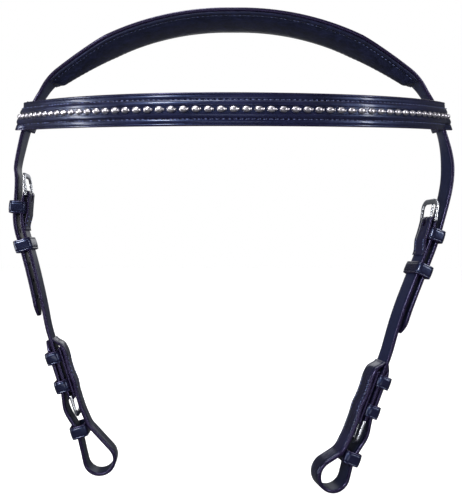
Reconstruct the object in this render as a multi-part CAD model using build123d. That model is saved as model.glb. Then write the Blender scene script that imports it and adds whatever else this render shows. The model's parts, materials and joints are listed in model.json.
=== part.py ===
from build123d import *
import math
import os

# Snaffle bridle headstall: padded crownpiece, clincher browband and two cheekpieces.
#
# Frame: +X to the right cheekpiece, -Y to the front of the horse's head, +Z up.
# The origin is at the middle of the padded crown's underside, where it rests on the poll.
# Lengths are in millimetres and angles in degrees.

os.makedirs("parts", exist_ok=True)

# ------------------------------------------------------------------ driving dimensions
STRAP_WIDTH = 16.0            # cheekpieces and billets
STRAP = 2.6                   # thickness of crown, billet, cheek and bit strap leather
CHAPE = 1.6                   # skived end that folds back round a buckle bar
SEWN_GAP = 0.05               # between pieces of leather that are stitched together

CROWN_WIDTH = 42.0            # over the poll
CROWN_HALF_LENGTH = 202.0     # along the strap, from the poll to the line where it flexes into a billet
TAPER_STARTS = 105.0          # distances up the strap from that flex line
PAD_ENDS = 52.0
TAPER_ENDS = 40.5
BAND_AT = 20.4                # middle of the browband's loop
PAD_MARGIN = 4.0              # stitched flange on each side of the foam
FOAM = 5.7                    # foam thickness
LINING = 1.2                  # soft leather under the foam
LINING_INSET = 0.5            # its edges, in from the strap's
# each span is (share of the half length, lean at its end); lean is from straight down, inward positive
CROWN_DRAPE = ((0.0248, -90.0), (0.3069, -73.0), (0.2153, -60.7), (0.1485, -56.3), (0.0866, -31.9),
               (0.0347, -31.9), (0.0594, -23.1), (0.1238, -13.2))
CROWN_BREAK = 1.0             # gap at the line where the crown flexes into each billet

BROWBAND_HEIGHT = 20.0
BROWBAND_DIP = 9.0            # the band slopes down this much from the loops to its middle
BROWBAND_FACE = 1.5           # face leather
BROWBAND_LINING = 1.2
BROWBAND_LINING_HEIGHT = 19.0
CORE_HEIGHT = 9.0             # raised filler
CORE = 1.6
CHANNEL_HEIGHT = 4.8          # sunk channel for the beads
CHANNEL_DEPTH = 0.7
# plan curve from the middle outward: (share of the half length, turn)
BROWBAND_PLAN_RIGHT = ((0.42, 22.0), (0.33, 22.0), (0.25, 14.0))
BROWBAND_PLAN_LEFT = ((0.42, 30.0), (0.33, 19.0), (0.25, 9.0))
LOOP_LEATHER = 1.8
LOOP_PLAY_FLAT = 1.1          # between loop and crown strap, through the strap's thickness
LOOP_PLAY_EDGE = 1.4          # the same at the strap's edges, room for the band to tilt
LOOP_CORNER = 0.6             # bending radius inside the loop's corners
LOOP_REACH = 7.0              # the band is cut clear of the loops this far above and below them
BEAD_PITCH = 7.5
BEAD_LENGTH = 6.4
BEAD_HEIGHT = 4.0
BEAD_RISE = 2.0
BEAD_MARGIN = 4.5             # least distance of the end beads' middles from the band's ends

CHEEK_LENGTH = 158.5          # between the two buckle bars
UPPER_CHAPE_LENGTH = 26.0
LOWER_CHAPE_LENGTH = 38.0
KEEPER = 1.6                  # keeper leather
KEEPER_LENGTH = 9.5
KEEPER_CORNER = 0.4           # bending radius inside a keeper's corners
KEEPER_PLAY = 0.25            # on the sewn side
KEEPER_SLACK = 0.8            # further room at the edges and the outer side
UPPER_KEEPER_AT = 10.5        # distances down the cheek strap from the upper bar
RUNNER_AT = 38.5
RUNNER_PLAY = 0.55
BILLET_LIFT = 2.8             # air between the cheek strap and the billet over it
BILLET_JOIN = 5.0             # where the billet comes to lie along the cheek strap
BILLET_LEFT_CLEAR = 20.5      # billet tips, above the tip of the turned-up bit strap
BILLET_RIGHT_CLEAR = 25.5
FIRST_HOLE = 14.0             # lowest hole, above the billet's tip
HOLE_RADIUS = 1.8
HOLE_PITCH = 13.0
BILLET_HOLES = 5
TURN_UP_HOLE_AT = -21.0       # the one hole that shows, between lower keepers a and b

BAR_RADIUS = 0.95
BAR_PLAY = 0.1
FRAME_THICK = 2.2
FRAME_PLAY = 0.7              # between the strap's edge and the frame's side
SIDE_WIDTH = 2.4
FRONT_WIDTH = 4.0
FRAME_LENGTH = 17.5
BAR_INSET = 1.4               # bar's middle from the frame's end
FRAME_CORNER = 4.0
UPPER_TILT = {"left": -11.0, "right": 6.5}    # the upper frames stand a little outward
TONGUE_RADIUS = 0.85
TONGUE_EYE = 1.2              # wire of the tongue's eye, round the bar
TONGUE_EYE_WIDTH = 2.6
TONGUE_ROOT = (0.6, 0.45)     # where its arm leaves the eye: along the frame, above the eye's bore
TONGUE_REACH = 0.6            # its tip, past the frame's front
TONGUE_SLOT_WIDTH = 3.4
TONGUE_PLAY = 0.1

TURN_UP_LIFT = 0.8            # air between the cheek strap and the turned-up bit strap over it
BIT_LOOP_RADIUS = 9.9         # inside radius of the leather loop that holds the bit ring
LOOP_CENTRE_OFFSET = -8.0     # loop's middle, inward of the cheek strap
TURN_UP_REACH = 45.0          # how far the turned-up tip stands above the lower bar
INNER_LEG_REACH = 41.0        # the same for the sewn inner leg
LOWER_KEEPERS = (("a", -32.0), ("b", -9.5))   # above the lower bar
KEEPER_C_AT = 27.0            # below the lower bar
PINCH_OFFSET = 1.2            # turned-up leather where keeper c draws it in
BOW_OFFSET = 5.8              # and where it passes over the buckle
BOW_AT = 9.0
PINCH_SAG = 1.2               # how much the turned-up leather bows within keeper c
FLARE = 1.4                   # how far the inner leg has moved inward at keeper c
FLARE_FROM = 12.0             # where below the lower bar that starts
FLARE_TO = KEEPER_C_AT - 2.0  # and where it is reached
FLARE_ROUND = 60.0            # bending radii of the bit strap: where the inner leg leaves the cheek,
LEG_ROUND = 14.0              # at keeper c on the inner side,
BOW_ROUND = 22.0              # and along the turned-up leg
LOOP_FOOT = 90.0              # straight stretch of the cheek's line below the lower bar
STACK_MARGIN = 2.5            # the cheek's line is straight from this far above the bit strap's tips
SKIVE = 3.0                   # length of the step where the cheek strap thins to its fold

# ------------------------------------------------------------------ fits worked out from them
FOLD_RADIUS = BAR_RADIUS + BAR_PLAY
FOLD_GAP = 2 * FOLD_RADIUS
BAR_OFFSET = -(STRAP / 2 + FOLD_RADIUS)               # bar's middle, from the cheek's mid line
CHAPE_OFFSET = BAR_OFFSET - FOLD_RADIUS - CHAPE / 2   # chape's mid line
BIT_STRAP_OFFSET = CHAPE_OFFSET - CHAPE / 2 - SEWN_GAP - STRAP / 2
TURN_UP_OFFSET = STRAP + TURN_UP_LIFT
BILLET_OFFSET = STRAP + BILLET_LIFT
LOOP_MID_RADIUS = BIT_LOOP_RADIUS + STRAP / 2
FRAME_INSIDE = STRAP_WIDTH + 2 * FRAME_PLAY
FRAME_WIDTH = FRAME_INSIDE + 2 * SIDE_WIDTH
CROWN_TOP = FOAM + LINING + STRAP + SEWN_GAP
STACK_TOP = CHEEK_LENGTH - TURN_UP_REACH              # tip of the turned-up bit strap, down the cheek
KEEPER_C_END = KEEPER_C_AT + KEEPER_LENGTH / 2        # lower end of keeper c, below the lower bar


# ------------------------------------------------------------------ flat routes
class Route:
    """A smooth plane line of straight and round spans that straps are built along."""

    def __init__(self, start, heading, spans):
        """spans: (length, turn) pairs; heading and turn count anticlockwise from +x."""
        self.spans = []
        x, y = start
        done = 0.0
        for length, turn in spans:
            self.spans.append((done, length, x, y, heading, turn))
            x, y, heading = self._advance(x, y, heading, turn / length, length)
            done += length
        self.length = done

    @staticmethod
    def _advance(x, y, heading, rate, step):
        a = math.radians(heading)
        if abs(rate) < 1e-9:
            return x + step * math.cos(a), y + step * math.sin(a), heading
        k = math.radians(rate)
        b = a + k * step
        return (x + (math.sin(b) - math.sin(a)) / k,
                y - (math.cos(b) - math.cos(a)) / k, math.degrees(b))

    def at(self, s, offset=0.0):
        """Point and heading at distance s, moved sideways to the left by offset."""
        for done, length, x, y, heading, turn in self.spans:
            if s <= done + length + 1e-9:
                break
        x, y, heading = self._advance(x, y, heading, turn / length, s - done)
        a = math.radians(heading)
        return x - offset * math.sin(a), y + offset * math.cos(a), heading

    def edges(self, offset, s0, s1, place):
        """The line beside the route at one offset, as edges put in space by place(x, y)."""
        out = []
        for done, length, _, _, _, turn in self.spans:
            a, b = max(s0, done), min(s1, done + length)
            if b - a < 1e-6:
                continue
            p, q = (place(*self.at(s, offset)[:2]) for s in (a, b))
            if abs(turn) < 1e-9:
                out.append(Line(p, q))
            else:
                out.append(ThreePointArc(p, place(*self.at((a + b) / 2, offset)[:2]), q))
        return out


def lean_spans(lean, drape):
    """Spans for a route that falls: (length, lean at the end) pairs to (length, turn) pairs."""
    spans = []
    for length, end in drape:
        spans.append((length, lean - end))
        lean = end
    return spans


def corner_route(corners):
    """A route through (x, y, radius) corners, each rounded; the first and last are its ends."""
    spans = []
    used = 0.0
    heads = [math.degrees(math.atan2(b[1] - a[1], b[0] - a[0])) for a, b in zip(corners, corners[1:])]
    for i, (a, b) in enumerate(zip(corners, corners[1:])):
        run = math.dist(a[:2], b[:2]) - used
        used = 0.0
        if i + 1 < len(heads):
            turn = (heads[i + 1] - heads[i] + 180) % 360 - 180
            used = b[2] * math.tan(math.radians(abs(turn)) / 2)
            run -= used
            arc = b[2] * math.radians(abs(turn))
        if run > 1e-6:
            spans.append((run, 0.0))
        if used > 1e-6:
            spans.append((arc, turn))
    return Route(corners[0][:2], heads[0], spans)


def ribbon_face(route, low, high, s0, s1, place):
    """The flat face between two offsets of a route, from s0 to s1."""
    first = route.edges(low, s0, s1, place)
    second = route.edges(high, s0, s1, place)
    ends = [Line(place(*route.at(s, low)[:2]), place(*route.at(s, high)[:2])) for s in (s0, s1)]
    return Face(Wire(first + second + ends))


# ------------------------------------------------------------------ the two sides
class Side:
    """One cheekpiece's plane: p runs outward from the middle, z up, w along the strap's width."""

    def __init__(self, name, sign, twist, billet_clear, grip, inward, drop, lean, drape, loop_hang):
        """grip: how long the billet keeps the crown's line, as a share of its free fall.
        inward and drop place the upper bar from the flex line; lean is the cheek strap's there.
        drape: (share of the free length, lean at its end); loop_hang: the round below keeper c."""
        a = math.radians(twist)
        self.name = name
        self.sign = sign
        self.grip = grip
        self.out = Vector(sign * math.cos(a), math.sin(a), 0)
        self.width_dir = self.out.cross(Vector(0, 0, 1))
        self.billet_end = STACK_TOP - billet_clear
        free = STACK_TOP - STACK_MARGIN
        drape = [(share * free, end) for share, end in drape]
        drape.append((CHEEK_LENGTH + LOOP_FOOT - free, drape[-1][1]))
        spans = lean_spans(lean, drape)
        self.route = Route((FLEX[0] - inward, FLEX[1] - drop), -90 - lean, spans)
        self.loop_drop = KEEPER_C_END + loop_hang + LOOP_MID_RADIUS

    def place(self, p, z):
        """A point of the side's plane, in space."""
        return Vector(self.sign * FLEX[0], 0, z) + self.out * (p - FLEX[0])

    def point(self, s, offset=0.0):
        p, z, _ = self.route.at(s, offset)
        return self.place(p, z)

    def station(self, s, offset=0.0, tilt=0.0):
        """Local plane on the strap: x along its width, y outward, z up the strap."""
        heading = math.radians(self.route.at(s)[2] + 180 + tilt)
        up = self.out * math.cos(heading) + Vector(0, 0, math.sin(heading))
        return Plane(origin=self.point(s, offset), x_dir=self.width_dir, z_dir=up)

    def strap(self, route, low, high, s0, s1, width=STRAP_WIDTH):
        """A strap of leather along a route of this plane."""
        face = ribbon_face(route, low, high, s0, s1, self.place)
        return extrude(face, amount=width / 2, dir=self.width_dir, both=True)


crown_route = Route((0.0, CROWN_TOP - STRAP / 2), 0.0,
                    lean_spans(-90.0, [(share * CROWN_HALF_LENGTH, lean) for share, lean in CROWN_DRAPE]))
FLEX = crown_route.at(crown_route.length)
BROWBAND_LEVEL = crown_route.at(crown_route.length - BAND_AT)[1]

SIDES = (
    Side("left", -1, -4.0, BILLET_LEFT_CLEAR, 0.75, 2.0, 39.0, -5.0,
         ((0.117, -4.0), (0.162, 17.0), (0.216, 14.0), (0.252, 11.5), (0.126, 10.0), (0.127, 17.2)), 9.4),
    Side("right", 1, 14.0, BILLET_RIGHT_CLEAR, 0.4, 11.2, 59.5, 15.0,
         ((0.234, 24.0), (0.306, 23.5), (0.216, 18.5), (0.126, 16.5), (0.118, 22.8)), 0.05),
)


def save(shape, node):
    export_step(shape, f"parts/{node}.step")


def compound(shapes):
    return Compound(children=list(shapes))


# ------------------------------------------------------------------ crownpiece
def both_ways(low, high, s1):
    """A full-width band along the crown, both sides of the middle, between two offsets."""
    band = None
    for sign in (-1, 1):
        face = ribbon_face(crown_route, low, high, 0, s1, lambda p, z: Vector(sign * p, 0, z))
        half = extrude(face, amount=CROWN_WIDTH, dir=(0, 1, 0), both=True)
        band = half if band is None else band + half
    return band


def plan_prism(half_widths):
    """A tall prism whose plan is given by (x, half width) pairs for x >= 0."""
    front = [(x, -w) for x, w in half_widths]
    back = [(x, w) for x, w in reversed(half_widths)]
    right = front + back
    left = [(-x, y) for x, y in right]
    tall = 400.0
    prism = None
    for outline in (right, left):
        face = make_face(Polyline(*outline, close=True))
        piece = Pos(0, 0, -tall / 2) * extrude(face, amount=tall)
        prism = piece if prism is None else prism + piece
    return prism


def crown_x(above_flex):
    """Distance from the middle, along X, of the crown's mid line that far above the flex line."""
    return crown_route.at(crown_route.length - above_flex)[0]


def crown_half_width(x):
    """Half the crown strap's width at distance x from the middle."""
    start, end = crown_x(TAPER_STARTS), crown_x(TAPER_ENDS)
    share = min(1.0, max(0.0, (x - start) / (end - start)))
    return CROWN_WIDTH / 2 + share * (STRAP_WIDTH - CROWN_WIDTH) / 2


def make_crown():
    """Strap, foam and lining of the crownpiece; the strap ends at the two flex lines."""
    full = crown_x(TAPER_STARTS)
    pad_end = crown_x(PAD_ENDS)
    strap_plan = [(0, crown_half_width(0)), (full, crown_half_width(0)),
                  (crown_x(TAPER_ENDS), STRAP_WIDTH / 2), (FLEX[0] + CROWN_WIDTH, STRAP_WIDTH / 2)]
    end = crown_route.length - CROWN_BREAK / 2
    save(both_ways(-STRAP / 2, STRAP / 2, end) & plan_prism(strap_plan), "crown_strap")

    pad_plan = [(0, crown_half_width(0)), (full, crown_half_width(0)), (pad_end, crown_half_width(pad_end))]
    foam_plan = [(x, w - PAD_MARGIN) for x, w in pad_plan[:-1]]
    foam_plan.append((pad_end - PAD_MARGIN, crown_half_width(pad_end) - PAD_MARGIN))
    under = -STRAP / 2 - SEWN_GAP
    reach = crown_route.length
    foam = both_ways(under - FOAM, under, reach) & plan_prism(foam_plan)
    lining_plan = [(x, w - LINING_INSET) for x, w in pad_plan]
    hollow_plan = [(x, w + SEWN_GAP) for x, w in foam_plan[:-1]]
    hollow_plan.append((foam_plan[-1][0] + SEWN_GAP, foam_plan[-1][1] + SEWN_GAP))
    hollow = both_ways(under - FOAM - SEWN_GAP, under + STRAP, reach) & plan_prism(hollow_plan)
    lining = both_ways(under - FOAM - LINING, under, reach) & plan_prism(lining_plan)
    save(foam, "crown_foam")
    save(lining - hollow, "crown_lining")


# ------------------------------------------------------------------ browband
def crown_station(sign, above_flex):
    """Plane on the crown strap, that far above the flex line: x along Y, y outward, z up the strap."""
    p, height, heading = crown_route.at(crown_route.length - above_flex)
    a = math.radians(heading + 180)
    up = Vector(sign * math.cos(a), 0, math.sin(a))
    return Plane(origin=(sign * p, 0, height), x_dir=Vector(0, -sign, 0), z_dir=up)


def browband_route():
    """Plan line of the band's back face from the left loop's front to the right loop's front."""
    spans = [(share, turn) for share, turn in reversed(BROWBAND_PLAN_LEFT)]
    spans += list(BROWBAND_PLAN_RIGHT)
    trial = Route((0, 0), 0, spans)
    x, y, _ = trial.at(trial.length)
    left, right = crown_station(-1, BAND_AT), crown_station(1, BAND_AT)
    front = STRAP_WIDTH / 2 + LOOP_PLAY_EDGE
    corner = STRAP / 2 + LOOP_PLAY_FLAT + LOOP_LEATHER
    chord = right.origin.X - left.origin.X + 2 * corner
    grow = chord / math.hypot(x, y)
    heading = -math.degrees(math.atan2(y, x))
    return Route((left.origin.X - corner, -front), heading, [(a * grow, t) for a, t in spans])


def loop_outline(station, grow, height):
    """Solid block round the crown strap, grown from the loop's inner walls by grow."""
    width = STRAP_WIDTH + 2 * (LOOP_PLAY_EDGE + grow)
    depth = STRAP + 2 * (LOOP_PLAY_FLAT + grow)
    radius = LOOP_CORNER + grow
    sketch = station * RectangleRounded(width, depth, radius)
    return extrude(sketch, amount=height / 2, both=True)


def make_browband():
    """Face, core, lining, two loops and the row of beads."""
    route = browband_route()
    dip = Pos(0, 0, BROWBAND_LEVEL) * Rot(BROWBAND_DIP, 0, 0)

    def band(low, high, height):
        face = ribbon_face(route, -high, -low, 0, route.length, Vector)
        return dip * extrude(face, amount=height / 2, dir=(0, 0, 1), both=True)

    stations = {"left": crown_station(-1, BAND_AT), "right": crown_station(1, BAND_AT)}
    reach = BROWBAND_HEIGHT + 2 * LOOP_REACH
    blocks = [loop_outline(st, LOOP_LEATHER + SEWN_GAP, reach) for st in stations.values()]

    raised = CORE + BROWBAND_FACE
    face = band(0, BROWBAND_FACE, BROWBAND_HEIGHT)
    face += band(0, raised, CORE_HEIGHT + 2 * BROWBAND_FACE)
    face -= band(-1, CORE + SEWN_GAP, CORE_HEIGHT + 2 * SEWN_GAP)
    face -= band(raised - CHANNEL_DEPTH, raised + 1, CHANNEL_HEIGHT)
    core = band(0, CORE, CORE_HEIGHT)
    lining = band(-SEWN_GAP - BROWBAND_LINING, -SEWN_GAP, BROWBAND_LINING_HEIGHT)
    for shape, node in ((face, "browband_face"), (core, "browband_core"), (lining, "browband_lining")):
        for block in blocks:
            shape = shape - block
        save(shape, node)

    for name, station in stations.items():
        ring = loop_outline(station, LOOP_LEATHER, BROWBAND_HEIGHT)
        ring -= loop_outline(station, 0, BROWBAND_HEIGHT + 2)
        save(ring, f"{name}_browband_loop")

    dome = scale(Sphere(1), by=(BEAD_LENGTH / 2, BEAD_HEIGHT / 2, BEAD_RISE))
    dome = dome & Pos(0, 0, BEAD_RISE) * Box(2 * BEAD_LENGTH, 2 * BEAD_HEIGHT, 2 * BEAD_RISE)
    seat = raised - CHANNEL_DEPTH + SEWN_GAP
    count = int((route.length - 2 * BEAD_MARGIN) / BEAD_PITCH) + 1
    start = (route.length - (count - 1) * BEAD_PITCH) / 2
    beads = []
    for i in range(count):
        x, y, heading = route.at(start + i * BEAD_PITCH, -seat)
        a = math.radians(heading)
        plane = Plane(origin=(x, y, 0), x_dir=(math.cos(a), math.sin(a), 0),
                      z_dir=(math.sin(a), -math.cos(a), 0))
        beads.append(dip * plane.location * dome)
    save(compound(beads), "clincher_beads")
    return count, route


# ------------------------------------------------------------------ straps of one side
def punched(strap, stations):
    """A strap with round holes through it at each station."""
    for st in stations:
        drill = Cylinder(HOLE_RADIUS, 3 * STRAP)
        strap = strap - Plane(origin=st.origin, x_dir=st.x_dir, z_dir=st.y_dir).location * drill
    return strap


def pointed(strap, station, up=False):
    """Cut a strap's end, just past the station, to a blunt point."""
    sense = -1 if up else 1
    half = STRAP_WIDTH / 2
    for hand in (-1, 1):
        wedge = make_face(Polyline((hand * (half + 1), sense * half * 0.9), (hand * half * 0.35, -sense * 0.1),
                                   (hand * half * 0.35, -sense * half), (hand * (half + 1), -sense * half),
                                   close=True))
        flat = Plane(origin=station.origin, x_dir=station.x_dir, z_dir=-station.y_dir)
        strap = strap - flat.location * extrude(wedge, amount=6 * STRAP, both=True)
    return strap


def billet_line(side, offset):
    """Edges of the free fall from the flex line to where the billet joins the cheek strap."""
    p, z, heading = crown_route.at(crown_route.length)
    a, b = math.radians(heading), math.radians(side.route.at(BILLET_JOIN)[2])
    p2, z2, _ = side.route.at(BILLET_JOIN, BILLET_OFFSET + offset)
    start = (p + CROWN_BREAK / 2 * math.cos(a) - offset * math.sin(a),
             z + CROWN_BREAK / 2 * math.sin(a) + offset * math.cos(a))
    grip = side.grip * math.dist(start, (p2, z2))
    points = (start, (start[0] + grip * math.cos(a), start[1] + grip * math.sin(a)),
              (p2 - grip * math.cos(b), z2 - grip * math.sin(b)), (p2, z2))
    return Bezier(*(side.place(*q) for q in points))


def make_billet(side):
    """The crown strap's free end, hanging outside the cheek strap."""
    low, high = -STRAP / 2, STRAP / 2
    inner, outer = billet_line(side, low), billet_line(side, high)
    join, end = BILLET_JOIN, side.billet_end
    edges = [inner, outer, Line(inner @ 0, outer @ 0)]
    edges += side.route.edges(BILLET_OFFSET + low, join, end, side.place)
    edges += side.route.edges(BILLET_OFFSET + high, join, end, side.place)
    edges.append(Line(side.point(end, BILLET_OFFSET + low), side.point(end, BILLET_OFFSET + high)))
    strap = extrude(Face(Wire(edges)), amount=STRAP_WIDTH / 2, dir=side.width_dir, both=True)
    first = end - FIRST_HOLE
    strap = punched(strap, [side.station(first - i * HOLE_PITCH, BILLET_OFFSET) for i in range(BILLET_HOLES)
                            if abs(first - i * HOLE_PITCH - RUNNER_AT) > KEEPER_LENGTH])
    save(pointed(strap, side.station(end, BILLET_OFFSET)), f"{side.name}_crown_billet")


def fold(side, at, up):
    """The turn of leather round a buckle bar, open where the tongue's eye sits."""
    station = side.station(at, BAR_OFFSET)
    outer = Plane(origin=station.origin, x_dir=station.z_dir, z_dir=station.x_dir)
    roll = Cylinder(FOLD_RADIUS + CHAPE, STRAP_WIDTH) - Cylinder(FOLD_RADIUS, STRAP_WIDTH + 2)
    reach = 4 * FOLD_RADIUS + 4 * CHAPE
    keep = Pos((reach / 2) * (1 if up else -1), 0, 0) * Box(reach, reach, STRAP_WIDTH + 2)
    return outer.location * (roll & keep)


def tongue_slot(side, at):
    """The slot through the fold for the buckle's tongue, centred on the bar."""
    length = 2 * (FOLD_RADIUS + CHAPE) + 7.0
    station = side.station(at, BAR_OFFSET)
    return station.location * Box(TONGUE_SLOT_WIDTH, 6 * STRAP, length)


def make_cheek_strap(side):
    """The cheek strap: full thickness between the bars, folded back and skived at both ends."""
    lower = CHEEK_LENGTH
    skive = FOLD_RADIUS + SKIVE
    step = STRAP / 2 - CHAPE
    body = side.strap(side.route, -STRAP / 2, STRAP / 2, skive, lower - skive)
    for s0, s1 in ((0.0, skive + 0.01), (lower - skive - 0.01, lower)):
        body += side.strap(side.route, -STRAP / 2, -step, s0, s1)
    body += side.strap(side.route, CHAPE_OFFSET - CHAPE / 2, CHAPE_OFFSET + CHAPE / 2, 0, UPPER_CHAPE_LENGTH)
    body += side.strap(side.route, CHAPE_OFFSET - CHAPE / 2, CHAPE_OFFSET + CHAPE / 2,
                       lower - LOWER_CHAPE_LENGTH, lower)
    body += fold(side, 0.0, True)
    body += fold(side, lower, False)
    for at in (0.0, lower):
        body -= tongue_slot(side, at)
    save(body, f"{side.name}_cheek_strap")


def keeper(side, at, low, high, play):
    """A flat ring of leather round the strap, between two offsets of the cheek's mid line."""
    station = side.station(at)
    ends = (side.point(at + step) - station.origin for step in (-KEEPER_LENGTH / 2, KEEPER_LENGTH / 2))
    play += max(abs(end.dot(station.y_dir)) for end in ends)    # the strap's own bend within the ring
    width = STRAP_WIDTH + 2 * (play + KEEPER_SLACK)
    inner_low, inner_high = low - play, high + play + KEEPER_SLACK
    middle, depth = (inner_low + inner_high) / 2, inner_high - inner_low
    outer = Pos(0, middle) * RectangleRounded(width + 2 * KEEPER, depth + 2 * KEEPER, KEEPER + KEEPER_CORNER)
    inner = Pos(0, middle) * RectangleRounded(width, depth, KEEPER_CORNER)
    return extrude(station * (outer - inner), amount=KEEPER_LENGTH / 2, both=True)


def make_keepers(side):
    """The fixed upper keeper, the sliding runner and lower keepers a and b."""
    sewn_low = -STRAP / 2
    billet_top = BILLET_OFFSET + STRAP / 2
    save(keeper(side, UPPER_KEEPER_AT, sewn_low, billet_top, KEEPER_PLAY), f"{side.name}_upper_keeper")
    save(keeper(side, RUNNER_AT, sewn_low, billet_top, RUNNER_PLAY), f"{side.name}_runner")
    for letter, at in LOWER_KEEPERS:
        ring = keeper(side, CHEEK_LENGTH + at, sewn_low, TURN_UP_OFFSET + STRAP / 2, KEEPER_PLAY)
        save(ring, f"{side.name}_lower_keeper_{letter}")


def bit_strap_route(side):
    """Down the inner side, round the bit loop and up the outer side to the tip."""
    radius = LOOP_MID_RADIUS
    drop = side.loop_drop
    centre = (drop, LOOP_CENTRE_OFFSET)
    flare_at, flare = FLARE_TO, BIT_STRAP_OFFSET - FLARE

    def tangent_heading(point, hand):
        dx, dy = centre[0] - point[0], centre[1] - point[1]
        return math.atan2(dy, dx) + hand * math.asin(radius / math.hypot(dx, dy))

    inner, pinch = (flare_at, flare), (KEEPER_C_AT, PINCH_OFFSET)
    going, coming = tangent_heading(inner, -1), tangent_heading(pinch, 1) + math.pi
    total = coming - going
    count = 3
    step = total / count
    corners = [(-INNER_LEG_REACH, BIT_STRAP_OFFSET, 0), (FLARE_FROM, BIT_STRAP_OFFSET, FLARE_ROUND),
               (*inner, LEG_ROUND)]
    for i in range(count):
        a = going + step * (i + 0.5) - math.pi / 2
        far = radius / math.cos(step / 2)
        corners.append((centre[0] + far * math.cos(a), centre[1] + far * math.sin(a), radius))
    corners += [(*pinch, BOW_ROUND), (BOW_AT, BOW_OFFSET, BOW_ROUND), (-4.0, TURN_UP_OFFSET, BOW_ROUND),
                (-TURN_UP_REACH, TURN_UP_OFFSET, 0)]
    return corner_route(corners)


def lower_place(side):
    """Puts a point of the lower stack, (distance below the lower bar, offset), in space."""
    return lambda s, offset: side.point(CHEEK_LENGTH + s, offset)


def make_bit_strap(side):
    """The bit strap and keeper c, which is sewn to its inner leg and holds its turned-up leg."""
    route = bit_strap_route(side)
    place = lower_place(side)
    face = ribbon_face(route, -STRAP / 2, STRAP / 2, 0, route.length, place)
    strap = extrude(face, amount=STRAP_WIDTH / 2, dir=side.width_dir, both=True)
    tip = side.station(CHEEK_LENGTH - TURN_UP_REACH, TURN_UP_OFFSET)
    hole = side.station(CHEEK_LENGTH + TURN_UP_HOLE_AT, TURN_UP_OFFSET)
    save(pointed(punched(strap, [hole]), tip, up=True), f"{side.name}_bit_strap")

    share = (KEEPER_C_AT - KEEPER_LENGTH / 2 - FLARE_FROM) / (FLARE_TO - FLARE_FROM)
    leg_face = BIT_STRAP_OFFSET - FLARE * share + STRAP / 2
    low = leg_face + SEWN_GAP + KEEPER + KEEPER_PLAY
    high = PINCH_OFFSET + STRAP / 2 + PINCH_SAG
    ring = keeper(side, CHEEK_LENGTH + KEEPER_C_AT, low, high, KEEPER_PLAY)
    save(ring, f"{side.name}_lower_keeper_c")


# ------------------------------------------------------------------ buckles
def buckle_plane(side, at, up, tilt):
    """Plane on a buckle bar: x along the bar, y along the frame, z to its outer face."""
    station = side.station(at, BAR_OFFSET, tilt)
    along = station.z_dir if up else -station.z_dir
    return Plane(origin=station.origin, x_dir=along.cross(station.y_dir), z_dir=station.y_dir)


def make_buckle(side, level, at, up, tilt=0.0):
    """A single-prong buckle: frame with its bar, and the tongue that turns on the bar."""
    plane = buckle_plane(side, at, up, tilt)
    middle = FRAME_LENGTH / 2 - BAR_INSET
    outline = Pos(0, middle) * RectangleRounded(FRAME_WIDTH, FRAME_LENGTH, FRAME_CORNER)
    window_low = -BAR_INSET - 1.0
    window_high = FRAME_LENGTH - BAR_INSET - FRONT_WIDTH
    window = Pos(0, (window_low + window_high) / 2) * Rectangle(FRAME_INSIDE, window_high - window_low)
    frame = extrude(outline - window, amount=FRAME_THICK / 2, both=True)
    bar = Rot(0, 90, 0) * Cylinder(BAR_RADIUS, FRAME_INSIDE + SIDE_WIDTH)
    save(plane.location * (frame + bar), f"{side.name}_{level}_buckle")

    eye_inner = BAR_RADIUS + TONGUE_PLAY
    eye_outer = eye_inner + TONGUE_EYE
    eye = Rot(0, 90, 0) * (Cylinder(eye_outer, TONGUE_EYE_WIDTH) - Cylinder(eye_inner, TONGUE_EYE_WIDTH + 1))
    rest = FRAME_THICK / 2 + TONGUE_RADIUS + TONGUE_PLAY
    tip = FRAME_LENGTH - BAR_INSET + TONGUE_REACH
    root = (0, TONGUE_ROOT[0], eye_inner + TONGUE_ROOT[1])
    knee = (0, tip - FRONT_WIDTH, rest)
    arm = capsule(root, knee, TONGUE_RADIUS) + capsule(knee, (0, tip, rest), TONGUE_RADIUS)
    hollow = Rot(0, 90, 0) * Cylinder(eye_inner, 4 * TONGUE_EYE_WIDTH)
    save(plane.location * ((eye + arm) - hollow), f"{side.name}_{level}_tongue")


def capsule(a, b, radius):
    """A round rod with ball ends."""
    start, end = Vector(*a), Vector(*b)
    run = end - start
    rod = Plane(origin=start, z_dir=run).location * (Pos(0, 0, run.length / 2) * Cylinder(radius, run.length))
    return rod + Pos(*a) * Sphere(radius) + Pos(*b) * Sphere(radius)


# ------------------------------------------------------------------ build
make_crown()
beads, band_route = make_browband()
for cheek in SIDES:
    make_billet(cheek)
    make_cheek_strap(cheek)
    make_keepers(cheek)
    make_bit_strap(cheek)
    make_buckle(cheek, "upper", 0.0, True, UPPER_TILT[cheek.name])
    make_buckle(cheek, "lower", CHEEK_LENGTH, False)
    loop = cheek.point(CHEEK_LENGTH + cheek.loop_drop, LOOP_CENTRE_OFFSET)
    print(cheek.name, "bit loop", loop, "axis", cheek.width_dir)
    p_end, z_end, _ = crown_route.at(crown_route.length)
    print("  flex", (cheek.sign * p_end, 0, z_end), "bars", cheek.point(0, BAR_OFFSET),
          cheek.point(CHEEK_LENGTH, BAR_OFFSET), "runner", cheek.station(RUNNER_AT).z_dir)
print("beads", beads, "band length", round(band_route.length, 1))
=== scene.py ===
import json
import logging
import math
from dataclasses import dataclass, field, replace
from enum import Enum
from typing import Any, Callable, Iterable, Optional, Sequence

import bmesh
import bpy
from mathutils import Matrix, Vector


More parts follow.
